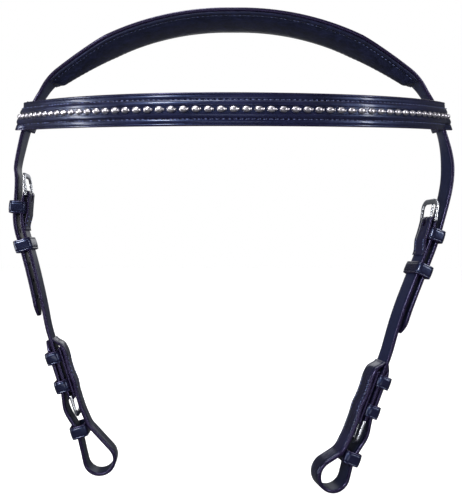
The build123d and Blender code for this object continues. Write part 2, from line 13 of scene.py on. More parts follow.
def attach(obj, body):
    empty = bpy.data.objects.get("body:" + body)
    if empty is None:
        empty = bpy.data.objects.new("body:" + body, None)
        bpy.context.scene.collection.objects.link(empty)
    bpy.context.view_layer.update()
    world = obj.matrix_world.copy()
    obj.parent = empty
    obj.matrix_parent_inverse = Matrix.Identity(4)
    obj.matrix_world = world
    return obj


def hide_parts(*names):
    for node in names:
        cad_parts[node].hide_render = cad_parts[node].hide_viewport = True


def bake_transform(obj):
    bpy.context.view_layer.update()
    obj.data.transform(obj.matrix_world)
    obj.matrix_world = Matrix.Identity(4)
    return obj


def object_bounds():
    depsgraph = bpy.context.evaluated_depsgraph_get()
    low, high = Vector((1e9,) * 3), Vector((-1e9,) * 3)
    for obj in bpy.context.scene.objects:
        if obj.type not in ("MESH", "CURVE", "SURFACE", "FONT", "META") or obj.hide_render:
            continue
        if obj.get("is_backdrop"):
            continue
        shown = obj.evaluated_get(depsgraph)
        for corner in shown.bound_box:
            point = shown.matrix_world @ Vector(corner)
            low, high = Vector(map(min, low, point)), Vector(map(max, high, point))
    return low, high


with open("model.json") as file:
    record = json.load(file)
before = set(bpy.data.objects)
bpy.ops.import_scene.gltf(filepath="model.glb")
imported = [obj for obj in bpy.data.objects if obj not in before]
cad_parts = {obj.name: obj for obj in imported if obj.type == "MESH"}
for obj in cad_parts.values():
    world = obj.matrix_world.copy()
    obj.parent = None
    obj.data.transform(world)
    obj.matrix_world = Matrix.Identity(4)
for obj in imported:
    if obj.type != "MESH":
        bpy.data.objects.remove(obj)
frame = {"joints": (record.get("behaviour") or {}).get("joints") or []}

# A snaffle bridle's headstall: padded crownpiece, clincher browband and two buckled cheekpieces.
# Everything is in metres. +X is the right cheekpiece, -Y the front of the head, +Z up.

MM = 0.001
UP = Vector((0, 0, 1))
ALONG_HEAD = Vector((0, 1, 0))
SHARP = math.radians(50)          # the least bend of a surface that shows as a corner
JOINTS = {joint["name"]: joint for joint in frame["joints"]}
Pair = tuple[float, float]

log = logging.getLogger("bridle")


class Hand(Enum):
    """The two sides of the headstall."""

    LEFT = "left"
    RIGHT = "right"

    @property
    def sign(self) -> int:
        """+1 towards +X, -1 towards -X."""
        return 1 if self is Hand.RIGHT else -1


class Level(Enum):
    """The two buckles of a cheekpiece."""

    UPPER = "upper"
    LOWER = "lower"


class Face(Enum):
    """Which finish a face of a strap takes."""

    GRAIN = 0
    EDGE = 1
    FLESH = 2


@dataclass(frozen=True)
class Stock:
    """Leather and hardware sizes that several sub-assemblies share."""

    width: float = 16 * MM
    thick: float = 2.6 * MM
    chape: float = 1.6 * MM
    sewn_gap: float = 0.05 * MM
    bar: float = 0.95 * MM
    bar_play: float = 0.1 * MM
    keeper: float = 1.6 * MM
    keeper_length: float = 9.5 * MM
    billet_lift: float = 2.8 * MM     # air under the billet
    turn_up_lift: float = 0.8 * MM    # and under the turned-up bit strap

    @property
    def fold(self) -> float:
        """Inside radius of the leather's turn round a buckle bar."""
        return self.bar + self.bar_play

    @property
    def bar_offset(self) -> float:
        """Bar's middle, from the cheek strap's mid line."""
        return -(self.thick / 2 + self.fold)

    @property
    def chape_offset(self) -> float:
        """Mid line of the folded-back end."""
        return self.bar_offset - self.fold - self.chape / 2

    @property
    def bit_strap_offset(self) -> float:
        """Mid line of the bit strap's inner leg."""
        return self.chape_offset - self.chape / 2 - self.sewn_gap - self.thick / 2

    @property
    def turn_up_offset(self) -> float:
        """Mid line of the bit strap's turned-up end."""
        return self.thick + self.turn_up_lift

    @property
    def billet_offset(self) -> float:
        """Mid line of the billet where it lies over the cheek strap."""
        return self.thick + self.billet_lift


STOCK = Stock()


# ------------------------------------------------------------------ plane routes
class Route:
    """A smooth plane line of straight and round spans that straps are built along."""

    def __init__(self, start: Pair, heading: float, spans: Iterable[Pair]) -> None:
        """Lay the spans end to end.

        Args:
            start: first point.
            heading: first direction in degrees, anticlockwise from +x.
            spans: (length, turn in degrees) pairs.
        """
        self.spans: list[tuple[float, float, float, float, float, float]] = []
        x, y = start
        done = 0.0
        for length, turn in spans:
            self.spans.append((done, length, x, y, heading, turn))
            x, y, heading = self._advance(x, y, heading, turn / length, length)
            done += length
        self.length = done

    @staticmethod
    def _advance(x: float, y: float, heading: float, rate: float, step: float) -> tuple[float, float, float]:
        """Where a point gets to, moving a step along a line that turns at a steady rate.

        Args:
            x, y, heading: where it starts and looks, in degrees.
            rate: degrees turned for each metre.
            step: distance moved.

        Returns:
            x, y and heading after the step.
        """
        a = math.radians(heading)
        if abs(rate) < 1e-6:
            return x + step * math.cos(a), y + step * math.sin(a), heading
        k = math.radians(rate)
        b = a + k * step
        return x + (math.sin(b) - math.sin(a)) / k, y - (math.cos(b) - math.cos(a)) / k, math.degrees(b)

    def at(self, s: float, offset: float = 0.0) -> tuple[float, float, float]:
        """Point at distance s, moved sideways to the left.

        Args:
            s: distance along the route.
            offset: sideways move.

        Returns:
            x, y and the heading in degrees.
        """
        for done, length, x, y, heading, turn in self.spans:
            if s <= done + length:
                break
        x, y, heading = self._advance(x, y, heading, turn / length, s - done)
        a = math.radians(heading)
        return x - offset * math.sin(a), y + offset * math.cos(a), heading


def falling(lean: float, drape: Iterable[Pair]) -> list[Pair]:
    """Spans of a route that falls.

    Args:
        lean: its lean from straight down at the start, in degrees.
        drape: (length, lean at the end) pairs.

    Returns:
        (length, turn) pairs.
    """
    spans = []
    for length, end in drape:
        spans.append((length, lean - end))
        lean = end
    return spans


def cornered(corners: Sequence[tuple[float, float, float]]) -> Route:
    """A route through points, with each corner rounded.

    Args:
        corners: (x, y, radius); the first and last are its ends.

    Returns:
        The route.
    """
    spans = []
    used = 0.0
    heads = [math.degrees(math.atan2(b[1] - a[1], b[0] - a[0])) for a, b in zip(corners, corners[1:])]
    for i, (a, b) in enumerate(zip(corners, corners[1:])):
        run = math.dist(a[:2], b[:2]) - used
        used = 0.0
        if i + 1 < len(heads):
            turn = (heads[i + 1] - heads[i] + 180) % 360 - 180
            used = b[2] * math.tan(math.radians(abs(turn)) / 2)
            run -= used
        if run > 1e-6:
            spans.append((run, 0.0))
        if used > 1e-6:
            spans.append((b[2] * math.radians(abs(turn)), turn))
    return Route(corners[0][:2], heads[0], spans)


def joint_point(name: str) -> Vector:
    """Where a joint's axis passes at rest."""
    return Vector(JOINTS[name]["pos_m"])


def smooth_step(x: float) -> float:
    """0 below 0, 1 above 1 and an even S between."""
    x = min(1.0, max(0.0, x))
    return x * x * (3 - 2 * x)


def steps(start: float, end: float, pitch: float) -> list[float]:
    """Evenly spaced values from start to end, about a pitch apart."""
    count = max(1, round(abs(end - start) / pitch))
    return [start + (end - start) * i / count for i in range(count + 1)]


def polar(radius: float, degrees: float) -> Pair:
    """A point at a distance and a direction, anticlockwise from +x."""
    return radius * math.cos(math.radians(degrees)), radius * math.sin(math.radians(degrees))


def filled(points: Sequence[Pair], pitch: float, closed: bool = False) -> list[Pair]:
    """Points with more put between them.

    Args:
        points: the corners, in order.
        pitch: about how far apart the result's points are.
        closed: whether the last corner joins the first.

    Returns:
        The corners and the points between them.
    """
    out: list[Pair] = []
    for a, b in zip(points, [*points[1:], points[0]] if closed else points[1:]):
        count = max(1, round(math.dist(a, b) / pitch))
        out += [(a[0] + (b[0] - a[0]) * i / count, a[1] + (b[1] - a[1]) * i / count) for i in range(count)]
    return out if closed else out + [points[-1]]


# ------------------------------------------------------------------ finishes
def linear(code: str) -> tuple[float, float, float, float]:
    """An sRGB hex colour as Blender's linear one.

    Args:
        code: such as "#1a2b3c".

    Returns:
        Red, green, blue and alpha.
    """
    parts = [int(code[i:i + 2], 16) / 255 for i in (1, 3, 5)]
    red, green, blue = (c / 12.92 if c <= 0.04045 else ((c + 0.055) / 1.055) ** 2.4 for c in parts)
    return red, green, blue, 1.0


def connect(material: bpy.types.Material, node: bpy.types.Node, inputs: dict[Any, Any]) -> None:
    """Feed a node.

    Args:
        material: where the node is.
        node: the node.
        inputs: for each input, by name or number, a constant or another node's output.
    """
    for key, value in inputs.items():
        if isinstance(value, bpy.types.NodeSocket):
            material.node_tree.links.new(value, node.inputs[key])
        else:
            node.inputs[key].default_value = value


def add_node(material: bpy.types.Material, kind: str, inputs: Optional[dict[Any, Any]] = None,
             **settings: Any) -> bpy.types.Node:
    """Add a node to a material.

    Args:
        material: where it goes.
        kind: the node's type name.
        inputs: what feeds it.
        settings: properties of the node.

    Returns:
        The new node.
    """
    node = material.node_tree.nodes.new(kind)
    for name, value in settings.items():
        setattr(node, name, value)
    connect(material, node, inputs or {})
    return node


def blank(name: str) -> tuple[bpy.types.Material, bpy.types.Node, bpy.types.NodeSocket]:
    """A material with only its shader.

    Args:
        name: the material's name.

    Returns:
        The material, its shader and the position of the shaded point on the object.
    """
    material = bpy.data.materials.new(name)
    material.use_nodes = True
    shader = material.node_tree.nodes["Principled BSDF"]
    place = add_node(material, "ShaderNodeTexCoord").outputs["Object"]
    return material, shader, place


def bump_map(material: bpy.types.Material, height: bpy.types.NodeSocket, strength: float, depth: float,
             under: Optional[bpy.types.NodeSocket] = None) -> bpy.types.NodeSocket:
    """Relief on a surface.

    Args:
        material: where it goes.
        height: from 0 to 1.
        strength: share of the relief that shows.
        depth: height of a step from 0 to 1.
        under: the normal of other relief that it adds to.

    Returns:
        The normal.
    """
    inputs = {"Height": height, "Strength": strength, "Distance": depth}
    if under:
        inputs["Normal"] = under
    return add_node(material, "ShaderNodeBump", inputs).outputs["Normal"]


def ramp(material: bpy.types.Material, value: bpy.types.NodeSocket,
         stops: Sequence[tuple[float, str]]) -> bpy.types.NodeSocket:
    """Colours for a value.

    Args:
        material: where the ramp goes.
        value: from 0 to 1.
        stops: (place, hex colour) pairs.

    Returns:
        The colour.
    """
    node = add_node(material, "ShaderNodeValToRGB", {"Fac": value})
    elements = node.color_ramp.elements
    while len(elements) < len(stops):
        elements.new(0.5)
    for element, (place, code) in zip(elements, stops):
        element.position = place
        element.color = linear(code)
    return node.outputs["Color"]


@dataclass(frozen=True)
class BridleLeather:
    """Vegetable-tanned bridle butt, dyed navy black, waxed and glazed."""

    name: str = "bridle_leather"
    deep: str = "#080715"
    bloom: str = "#110e26"
    gloss: str = "#8fadf2"
    shine: float = 0.5
    roughness: float = 0.28
    coat: float = 0.35
    pore: float = 0.9 * MM        # real pores are about 0.15 mm apart: drawn coarse enough to show
    crease: float = 7 * MM        # soft wrinkles of a used strap
    relief: float = 0.16

    def make(self) -> bpy.types.Material:
        """The material: the wax film gives a sharp glint over a broad blue-white sheen."""
        material, shader, place = blank(self.name)
        cloud = add_node(material, "ShaderNodeTexNoise",
                         {"Vector": place, "Scale": 1 / (22 * MM), "Detail": 5.0, "Roughness": 0.6})
        pores = add_node(material, "ShaderNodeTexVoronoi", {"Vector": place, "Scale": 1 / self.pore},
                         feature="SMOOTH_F1")
        creases = add_node(material, "ShaderNodeTexNoise",
                           {"Vector": place, "Scale": 1 / self.crease, "Detail": 3.0, "Distortion": 0.6})
        colour = ramp(material, cloud.outputs["Fac"], ((0.32, self.deep), (0.72, self.bloom)))
        rough = add_node(material, "ShaderNodeMapRange",
                         {"Value": cloud.outputs["Fac"], "From Min": 0.3, "From Max": 0.7,
                          "To Min": self.roughness - 0.07, "To Max": self.roughness + 0.08})
        fine = bump_map(material, pores.outputs["Distance"], self.relief, 0.2 * MM)
        normal = bump_map(material, creases.outputs["Fac"], 0.35, 0.5 * MM, fine)
        connect(material, shader, {"Base Color": colour, "Roughness": rough.outputs["Result"],
                                   "Normal": normal, "IOR": 1.5,
                                   "Specular IOR Level": self.shine, "Specular Tint": linear(self.gloss),
                                   "Coat Weight": self.coat, "Coat Roughness": 0.12})
        return material


@dataclass(frozen=True)
class BurnishedEdge:
    """Cut leather edge, dyed, rubbed with gum and burnished."""

    name: str = "burnished_edge"
    dark: str = "#0b0816"
    light: str = "#1a1329"
    gloss: str = "#b9b4ee"
    fibre: float = 1.1 * MM       # layered fibres, drawn coarse enough to show

    def make(self) -> bpy.types.Material:
        """The material: a slightly purple, satin band where the dye sits thin on the fibres."""
        material, shader, place = blank(self.name)
        fibres = add_node(material, "ShaderNodeTexNoise",
                          {"Vector": place, "Scale": 1 / self.fibre, "Detail": 4.0, "Roughness": 0.65})
        colour = ramp(material, fibres.outputs["Fac"], ((0.35, self.dark), (0.75, self.light)))
        normal = bump_map(material, fibres.outputs["Fac"], 0.2, 0.2 * MM)
        connect(material, shader, {"Base Color": colour, "Normal": normal, "Roughness": 0.24,
                                   "IOR": 1.5, "Specular IOR Level": 0.5, "Specular Tint": linear(self.gloss)})
        return material


@dataclass(frozen=True)
class FleshSide:
    """The strap's inner face, dressed with dye, tallow and gum until it is slick."""

    name: str = "slicked_flesh_side"
    dark: str = "#0a0b1d"
    light: str = "#151831"
    gloss: str = "#9fb8e0"
    nap: float = 1.4 * MM

    def make(self) -> bpy.types.Material:
        """The material: smooth and dark, with a softer shine than the grain and a trace of nap."""
        material, shader, place = blank(self.name)
        nap = add_node(material, "ShaderNodeTexNoise",
                       {"Vector": place, "Scale": 1 / self.nap, "Detail": 6.0, "Roughness": 0.7})
        colour = ramp(material, nap.outputs["Fac"], ((0.3, self.dark), (0.75, self.light)))
        normal = bump_map(material, nap.outputs["Fac"], 0.15, 0.2 * MM)
        connect(material, shader, {"Base Color": colour, "Normal": normal, "Roughness": 0.4,
                                   "IOR": 1.45, "Specular IOR Level": 0.4, "Specular Tint": linear(self.gloss)})
        return material


@dataclass(frozen=True)
class SoftLining:
    """Chrome-tanned lining hide, drum-dyed and milled soft."""

    name: str = "soft_lining_leather"
    deep: str = "#080916"
    bloom: str = "#11132a"
    gloss: str = "#b4c2ea"
    pebble: float = 1.3 * MM

    def make(self) -> bpy.types.Material:
        """The material: a soft semi-gloss over pebbled grain, with puckers where it is sewn."""
        material, shader, place = blank(self.name)
        pebbles = add_node(material, "ShaderNodeTexVoronoi", {"Vector": place, "Scale": 1 / self.pebble},
                           feature="SMOOTH_F1")
        puckers = add_node(material, "ShaderNodeTexNoise",
                           {"Vector": place, "Scale": 1 / (5 * MM), "Detail": 4.0, "Distortion": 1.0})
        colour = ramp(material, puckers.outputs["Fac"], ((0.3, self.deep), (0.75, self.bloom)))
        fine = bump_map(material, pebbles.outputs["Distance"], 0.25, 0.3 * MM)
        normal = bump_map(material, puckers.outputs["Fac"], 0.4, 0.6 * MM, fine)
        connect(material, shader, {"Base Color": colour, "Normal": normal, "Roughness": 0.42,
                                   "IOR": 1.48, "Specular IOR Level": 0.3, "Specular Tint": linear(self.gloss)})
        return material


@dataclass(frozen=True)
class WaxedThread:
    """Twisted linen thread, dyed and waxed."""

    name: str = "waxed_thread"
    dark: str = "#15172a"
    light: str = "#4c5580"
    twist: float = 0.8 * MM

    def make(self) -> bpy.types.Material:
        """The material: small satin dots, a little lighter than the leather they sink in."""
        material, shader, place = blank(self.name)
        twist = add_node(material, "ShaderNodeTexWave",
                         {"Vector": place, "Scale": 1 / self.twist / 4, "Distortion": 2.0},
                         bands_direction="DIAGONAL")
        colour = ramp(material, twist.outputs["Fac"], ((0.2, self.dark), (0.8, self.light)))
        connect(material, shader, {"Base Color": colour, "Roughness": 0.5, "IOR": 1.46})
        return material


@dataclass(frozen=True)
class SatinSteel:
    """Cast stainless steel, tumbled and polished by hand."""

    name: str = "satin_steel"
    dark: str = "#8c8f96"
    light: str = "#d6d8de"
    roughness: float = 0.24
    scratch: float = 2.5 * MM
    relief: float = 0.08

    def make(self) -> bpy.types.Material:
        """The material: bright bars whose shine is broken up by fine tumbling marks."""
        material, shader, place = blank(self.name)
        marks = add_node(material, "ShaderNodeTexNoise",
                         {"Vector": place, "Scale": 1 / self.scratch, "Detail": 8.0, "Roughness": 0.75})
        colour = ramp(material, marks.outputs["Fac"], ((0.25, self.dark), (0.6, self.light)))
        rough = add_node(material, "ShaderNodeMapRange",
                         {"Value": marks.outputs["Fac"], "From Min": 0.3, "From Max": 0.7,
                          "To Min": self.roughness - 0.08, "To Max": self.roughness + 0.12})
        normal = bump_map(material, marks.outputs["Fac"], self.relief, 0.2 * MM)
        connect(material, shader, {"Base Color": colour, "Roughness": rough.outputs["Result"],
                                   "Normal": normal, "Metallic": 1.0})
        return material


@dataclass(frozen=True)
class Studio:
    """White cyclorama: pale floor, soft boxes and the camera in front."""

    camera_place: tuple[float, float, float] = (-2 * MM, -483 * MM, -167.5 * MM)
    lens: float = 45.67
    floor_drop: float = 12 * MM
    floor_reach: float = 6.0
    room_light: float = 0.14
    sky_power: float = 0.6
    aim: tuple[float, float, float] = (0.0, 0.0, -0.15)
    softboxes: tuple = (              # name, place, size and power
        ("key", (-0.55, -0.8, 0.35), (0.2, 0.2), 9.0), ("fill", (0.85, -0.45, 0.1), (0.1, 0.5), 4.0),
        ("top", (-0.2, -0.2, 0.9), (0.5, 0.15), 6.0), ("left", (-0.9, -0.15, -0.1), (0.1, 0.6), 4.0),
        ("low", (0.0, -0.8, -0.3), (0.5, 0.12), 0.8), ("back", (0.2, 0.9, 0.2), (0.8, 0.5), 1.5))

    def floor_material(self) -> bpy.types.Material:
        """Matt white paint on the floor, with the faint mottling of a roller."""
        material, shader, place = blank("matt_white_paint")
        mottle = add_node(material, "ShaderNodeTexNoise", {"Vector": place, "Scale": 6.0, "Detail": 3.0})
        colour = ramp(material, mottle.outputs["Fac"], ((0.2, "#f3f3f2"), (0.8, "#f9f9f9")))
        connect(material, shader, {"Base Color": colour, "Roughness": 0.85})
        return material

    def build(self, lowest: float) -> None:
        """Floor, world, lights and camera.

        Args:
            lowest: height of the object's lowest point.
        """
        bpy.context.scene.view_settings.view_transform = "Standard"
        self.lay_floor(lowest - self.floor_drop)
        self.paint_world()
        self.hang_lights()
        self.set_camera()

    def lay_floor(self, level: float) -> None:
        """A wide floor at a height."""
        mesh = bpy.data.meshes.new("studio_floor")
        far = self.floor_reach
        mesh.from_pydata([(-far, -far, level), (far, -far, level), (far, far, level), (-far, far, level)], [],
                         [(0, 1, 2, 3)])
        floor = self.put("studio_floor", mesh)
        mesh.materials.append(self.floor_material())
        floor.visible_glossy = False      # polished leather over it mirrors the dim room instead
        floor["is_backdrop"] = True

    def put(self, name: str, data: bpy.types.ID) -> bpy.types.Object:
        """A new object in the scene."""
        thing = bpy.data.objects.new(name, data)
        bpy.context.scene.collection.objects.link(thing)
        return thing

    def paint_world(self) -> None:
        """White paper all round, which polished surfaces mirror as a dim room."""
        world = bpy.data.worlds.new("studio_world")
        world.use_nodes = True
        tree = world.node_tree
        room = tree.nodes["Background"]
        room.inputs["Color"].default_value = linear("#e8ecf6")
        room.inputs["Strength"].default_value = self.room_light
        paper = tree.nodes.new("ShaderNodeBackground")
        paper.inputs["Color"].default_value = linear("#ffffff")
        seen = tree.nodes.new("ShaderNodeLightPath")
        mix = tree.nodes.new("ShaderNodeMixShader")
        tree.links.new(seen.outputs["Is Glossy Ray"], mix.inputs["Fac"])
        tree.links.new(paper.outputs["Background"], mix.inputs[1])
        tree.links.new(room.outputs["Background"], mix.inputs[2])
        tree.links.new(mix.outputs["Shader"], tree.nodes["World Output"].inputs["Surface"])
        bpy.context.scene.world = world

    def hang_lights(self) -> None:
        """An even light from overhead that whitens the floor, and narrow softboxes that draw the glints."""
        sky = bpy.data.lights.new("overhead_sky", "SUN")
        sky.energy = self.sky_power
        sky.angle = math.radians(60)
        self.put("overhead_sky", sky)
        for name, place, size, power in self.softboxes:
            lamp = bpy.data.lights.new(f"softbox_{name}", "AREA")
            lamp.shape = "RECTANGLE"
            lamp.size, lamp.size_y = size
            lamp.energy = power
            box = self.put(f"softbox_{name}", lamp)
            box.location = place
            box.rotation_euler = (Vector(self.aim) - Vector(place)).to_track_quat("-Z", "Y").to_euler()

    def set_camera(self) -> None:
        """The camera, level and straight in front."""
        camera = bpy.data.cameras.new("camera")
        camera.lens = self.lens
        camera.clip_start = 0.01
        view = self.put("camera", camera)
        view.location = self.camera_place
        view.rotation_euler = (math.pi / 2, 0, 0)
        bpy.context.scene.camera = view


# ------------------------------------------------------------------ meshes
@dataclass(frozen=True)
class Station:
    """One place along a strap."""

    centre: Vector
    across: Vector                # along the width
    out: Vector                   # towards the grain side
    width: float
    thick: float
    relief: float = 1.0           # how much of a raised section stands up here


Outline = list[tuple[float, float, Face]]


def lower_outline(flat: float, r: float, thick: float, turns: Sequence[float]) -> Outline:
    """The part of a strap's outline that is not grain: both round edges and the flesh side between them.

    Args:
        flat: half the width of the flat sides.
        r: how far an edge stands out from them.
        thick: the strap's thickness.
        turns: places round an edge, in degrees from the grain side.

    Returns:
        (across, out, face) for each point.
    """
    edge = [(flat + r * math.sin(a), thick / 2 * math.cos(a)) for a in map(math.radians, turns)]
    return [*((x, n, Face.EDGE) for x, n in edge),
            *((x, -thick / 2, Face.FLESH) for x in (flat, 0.5 * flat, 0.0, -0.5 * flat)),
            *((-x, -n, Face.EDGE) for x, n in edge)]


@dataclass(frozen=True)
class StrapSection:
    """A strap's cut end: creased and slightly domed grain side, round edges, flat flesh side."""

    crease_at: float = 1.5 * MM   # crease line, in from the edge
    crease: float = 0.22 * MM     # its depth
    crease_half: float = 0.35 * MM
    dome: float = 0.14 * MM
    round_share: float = 0.42     # edge radius, as a share of the thickness

    def outline(self, width: float, thick: float, relief: float) -> Outline:
        """The closed outline at one place.

        Args:
            width: the strap's width there.
            thick: its thickness.
            relief: 1 for the full creases and dome.

        Returns:
            (across, out, face) for each point; the face is that of the span after it.
        """
        half = width / 2
        r = min(self.round_share * thick, 0.3 * half)
        flat = half - r
        c = min(half - self.crease_at, 0.72 * half)
        g = min(self.crease_half, 0.1 * half)
        marks = [-flat, -c - g, -c, -c + g, -0.4 * half, 0.0, 0.4 * half, c - g, c, c + g, flat]
        depth = (0, 0, self.crease, 0, 0, 0, 0, 0, self.crease, 0, 0)
        top = [(x, thick / 2 + relief * (self.dome * (1 - (x / half) ** 2) - d), Face.GRAIN)
               for x, d in zip(marks, depth)]
        return top[:-1] + lower_outline(flat, r, thick, (0, 25, 55, 90, 125, 155))


def new_object(name: str, bm: bmesh.types.BMesh, finishes: Sequence[bpy.types.Material]) -> bpy.types.Object:
    """An object from a finished bmesh, smooth except at its sharp corners.

    Args:
        name: the piece's name.
        bm: its mesh, which is freed.
        finishes: its materials, in the order of Face.

    Returns:
        The object, in the scene.
    """
    mesh = bpy.data.meshes.new(name)
    bmesh.ops.recalc_face_normals(bm, faces=bm.faces)
    bm.to_mesh(mesh)
    bm.free()
    for finish in finishes:
        mesh.materials.append(finish)
    mesh.polygons.foreach_set("use_smooth", [True] * len(mesh.polygons))
    mesh.set_sharp_from_angle(angle=SHARP)
    piece = bpy.data.objects.new(name, mesh)
    bpy.context.scene.collection.objects.link(piece)
    return piece


def skin(bm: bmesh.types.BMesh, rings: Sequence[Sequence[Vector]], faces: Sequence[int], closed: bool = False,
         cap: int = 0) -> None:
    """Faces between rings of points.

    Args:
        bm: the mesh to add to.
        rings: the points, the same number in each ring.
        faces: material number for each span of a ring.
        closed: whether the last ring joins the first; if not, both ends are capped.
        cap: material number of the caps.
    """
    made = [[bm.verts.new(point) for point in ring] for ring in rings]
    count = len(made[0])
    pairs = list(zip(made, made[1:] + made[:1])) if closed else list(zip(made, made[1:]))
    for first, second in pairs:
        for i in range(count):
            j = (i + 1) % count
            bm.faces.new((first[i], first[j], second[j], second[i])).material_index = faces[i]
    if not closed:
        for ring in (made[0], made[-1]):
            bm.faces.new(ring).material_index = cap


def strap(name: str, stations: Sequence[Station], finishes: Sequence[bpy.types.Material],
          section: StrapSection = StrapSection(), closed: bool = False) -> bpy.types.Object:
    """A strap swept through stations.

    Args:
        name: the piece's name.
        stations: its places, in order.
        finishes: grain, edge and flesh materials.
        section: the shape of its cut end.
        closed: whether it is a ring.

    Returns:
        The strap.
    """
    places = list(stations)
    if not closed:
        for at, other in ((0, 1), (-1, -2)):
            end, along = places[at], (places[at].centre - places[other].centre).normalized()
            tip = Station(end.centre + along * 0.22 * end.thick, end.across, end.out,
                          end.width - 0.5 * end.thick, 0.62 * end.thick, end.relief)
            places.insert(0 if at == 0 else len(places), tip)
    rings = []
    for st in places:
        outline = section.outline(st.width, st.thick, st.relief)
        rings.append([st.centre + st.across * a + st.out * n for a, n, _ in outline])
    bm = bmesh.new()
    skin(bm, rings, [face.value for _, _, face in outline], closed, Face.EDGE.value)
    return new_object(name, bm, finishes)


def along_line(centres: Sequence[Vector], across: Callable[[int], Vector], width: Callable[[int], float],
               thick: Callable[[int], float], closed: bool = False) -> list[Station]:
    """Stations on a line of points, each square to the line.

    Args:
        centres: the mid line's points.
        across: width direction at each point.
        width: width at each point.
        thick: thickness at each point.
        closed: whether the line is a loop.

    Returns:
        The stations.
    """
    out = []
    last = len(centres) - 1
    for i, centre in enumerate(centres):
        before = centres[i - 1] if (i or closed) else centres[i]
        after = centres[(i + 1) % len(centres)] if (i < last or closed) else centres[i]
        along = (after - before).normalized()
        side = across(i)
        out.append(Station(centre, side, along.cross(side).normalized(), width(i), thick(i)))
    return out


def faced(stations: Sequence[Station], out: Vector, known: int) -> list[Station]:
    """A strap's stations, turned over if need be so that its grain faces the right way.

    Args:
        stations: the strap's.
        out: where the grain faces.
        known: number of the station that is looked at.

    Returns:
        The stations.
    """
    flip = 1 if stations[known].out.dot(out) > 0 else -1
    return [replace(st, out=st.out * flip) for st in stations]


def cut(piece: bpy.types.Object, bm: bmesh.types.BMesh) -> None:
    """Take a closed shape out of a piece for good.

    Args:
        piece: the piece, changed in place.
        bm: the shape, which is freed.
    """
    mesh = bpy.data.meshes.new("cutter")
    bmesh.ops.recalc_face_normals(bm, faces=bm.faces)
    bm.to_mesh(mesh)
    bm.free()
    mesh.materials.append(piece.data.materials[Face.EDGE.value])
    cutter = bpy.data.objects.new("cutter", mesh)
    bpy.context.scene.collection.objects.link(cutter)
    modifier = piece.modifiers.new("cut", "BOOLEAN")
    modifier.operation = "DIFFERENCE"
    modifier.solver = "EXACT"
    modifier.material_mode = "TRANSFER"
    modifier.object = cutter
    bpy.context.view_layer.update()
    done = bpy.data.meshes.new_from_object(piece.evaluated_get(bpy.context.evaluated_depsgraph_get()))
    piece.modifiers.clear()
    old = piece.data
    done.name = old.name
    piece.data = done
    bpy.data.meshes.remove(old)
    bpy.data.objects.remove(cutter)
    done.set_sharp_from_angle(angle=SHARP)


def frame_matrix(centre: Vector, x: Vector, y: Vector, z: Vector) -> Matrix:
    """The placing of a local frame."""
    return Matrix.Translation(centre) @ Matrix((x, y, z)).transposed().to_4x4()


def punch(piece: bpy.types.Object, places: Sequence[Station], radius: float) -> None:
    """Punch round holes through a strap.

    Args:
        piece: the strap.
        places: where, each square to the strap.
        radius: of the holes.
    """
    for place in places:
        bm = bmesh.new()
        matrix = frame_matrix(place.centre, place.across, place.out.cross(place.across), place.out)
        bmesh.ops.create_cone(bm, cap_ends=True, segments=20, radius1=radius, radius2=radius,
                              depth=4 * place.thick, matrix=matrix)
        cut(piece, bm)


def stitch_row(bm: bmesh.types.BMesh, line: Sequence[tuple[Vector, Vector]], pitch: float, length: float,
               radius: float) -> int:
    """Short thread stitches laid end to end along a line on a surface.

    Args:
        bm: the mesh to add to.
        line: (point, outward normal) pairs.
        pitch: from one stitch to the next.
        length: of a stitch.
        radius: of the thread.

    Returns:
        How many were made.
    """
    slant = Matrix.Rotation(math.radians(7), 4, "Z")
    lying = Matrix.Rotation(math.pi / 2, 4, "Y")
    made = 0
    wanted = pitch / 2
    done = 0.0
    for (a, normal), (b, _) in zip(line, line[1:]):
        run = (b - a).length
        while run > 0 and done + run >= wanted:
            share = (wanted - done) / run
            along = (b - a).normalized()
            up = (normal - along * normal.dot(along)).normalized()
            matrix = frame_matrix(a.lerp(b, share), along, up.cross(along), up) @ slant
            matrix = matrix @ Matrix.Diagonal((length / 2, radius, radius, 1)) @ lying
            bmesh.ops.create_uvsphere(bm, u_segments=8, v_segments=6, radius=1, matrix=matrix)
            made += 1
            wanted += pitch
        done += run
    return made


BarStation = tuple[Vector, Vector, Vector, float, float]    # centre, two axes and the radius along each


def tube(bm: bmesh.types.BMesh, stations: Sequence[BarStation], sides: int = 16, square: float = 2.0) -> None:
    """A closed-ended bar of oval to squarish section.

    Args:
        bm: the mesh to add to.
        stations: its places, in order.
        sides: points round it.
        square: 2 for an oval, more for rounder-cornered flats.
    """
    rings = []
    for centre, x, y, a, b in stations:
        ring = []
        for i in range(sides):
            t = 2 * math.pi * i / sides
            c, s = math.cos(t), math.sin(t)
            ring.append(centre + x * a * math.copysign(abs(c) ** (2 / square), c)
                        + y * b * math.copysign(abs(s) ** (2 / square), s))
        rings.append(ring)
    skin(bm, rings, [0] * sides)


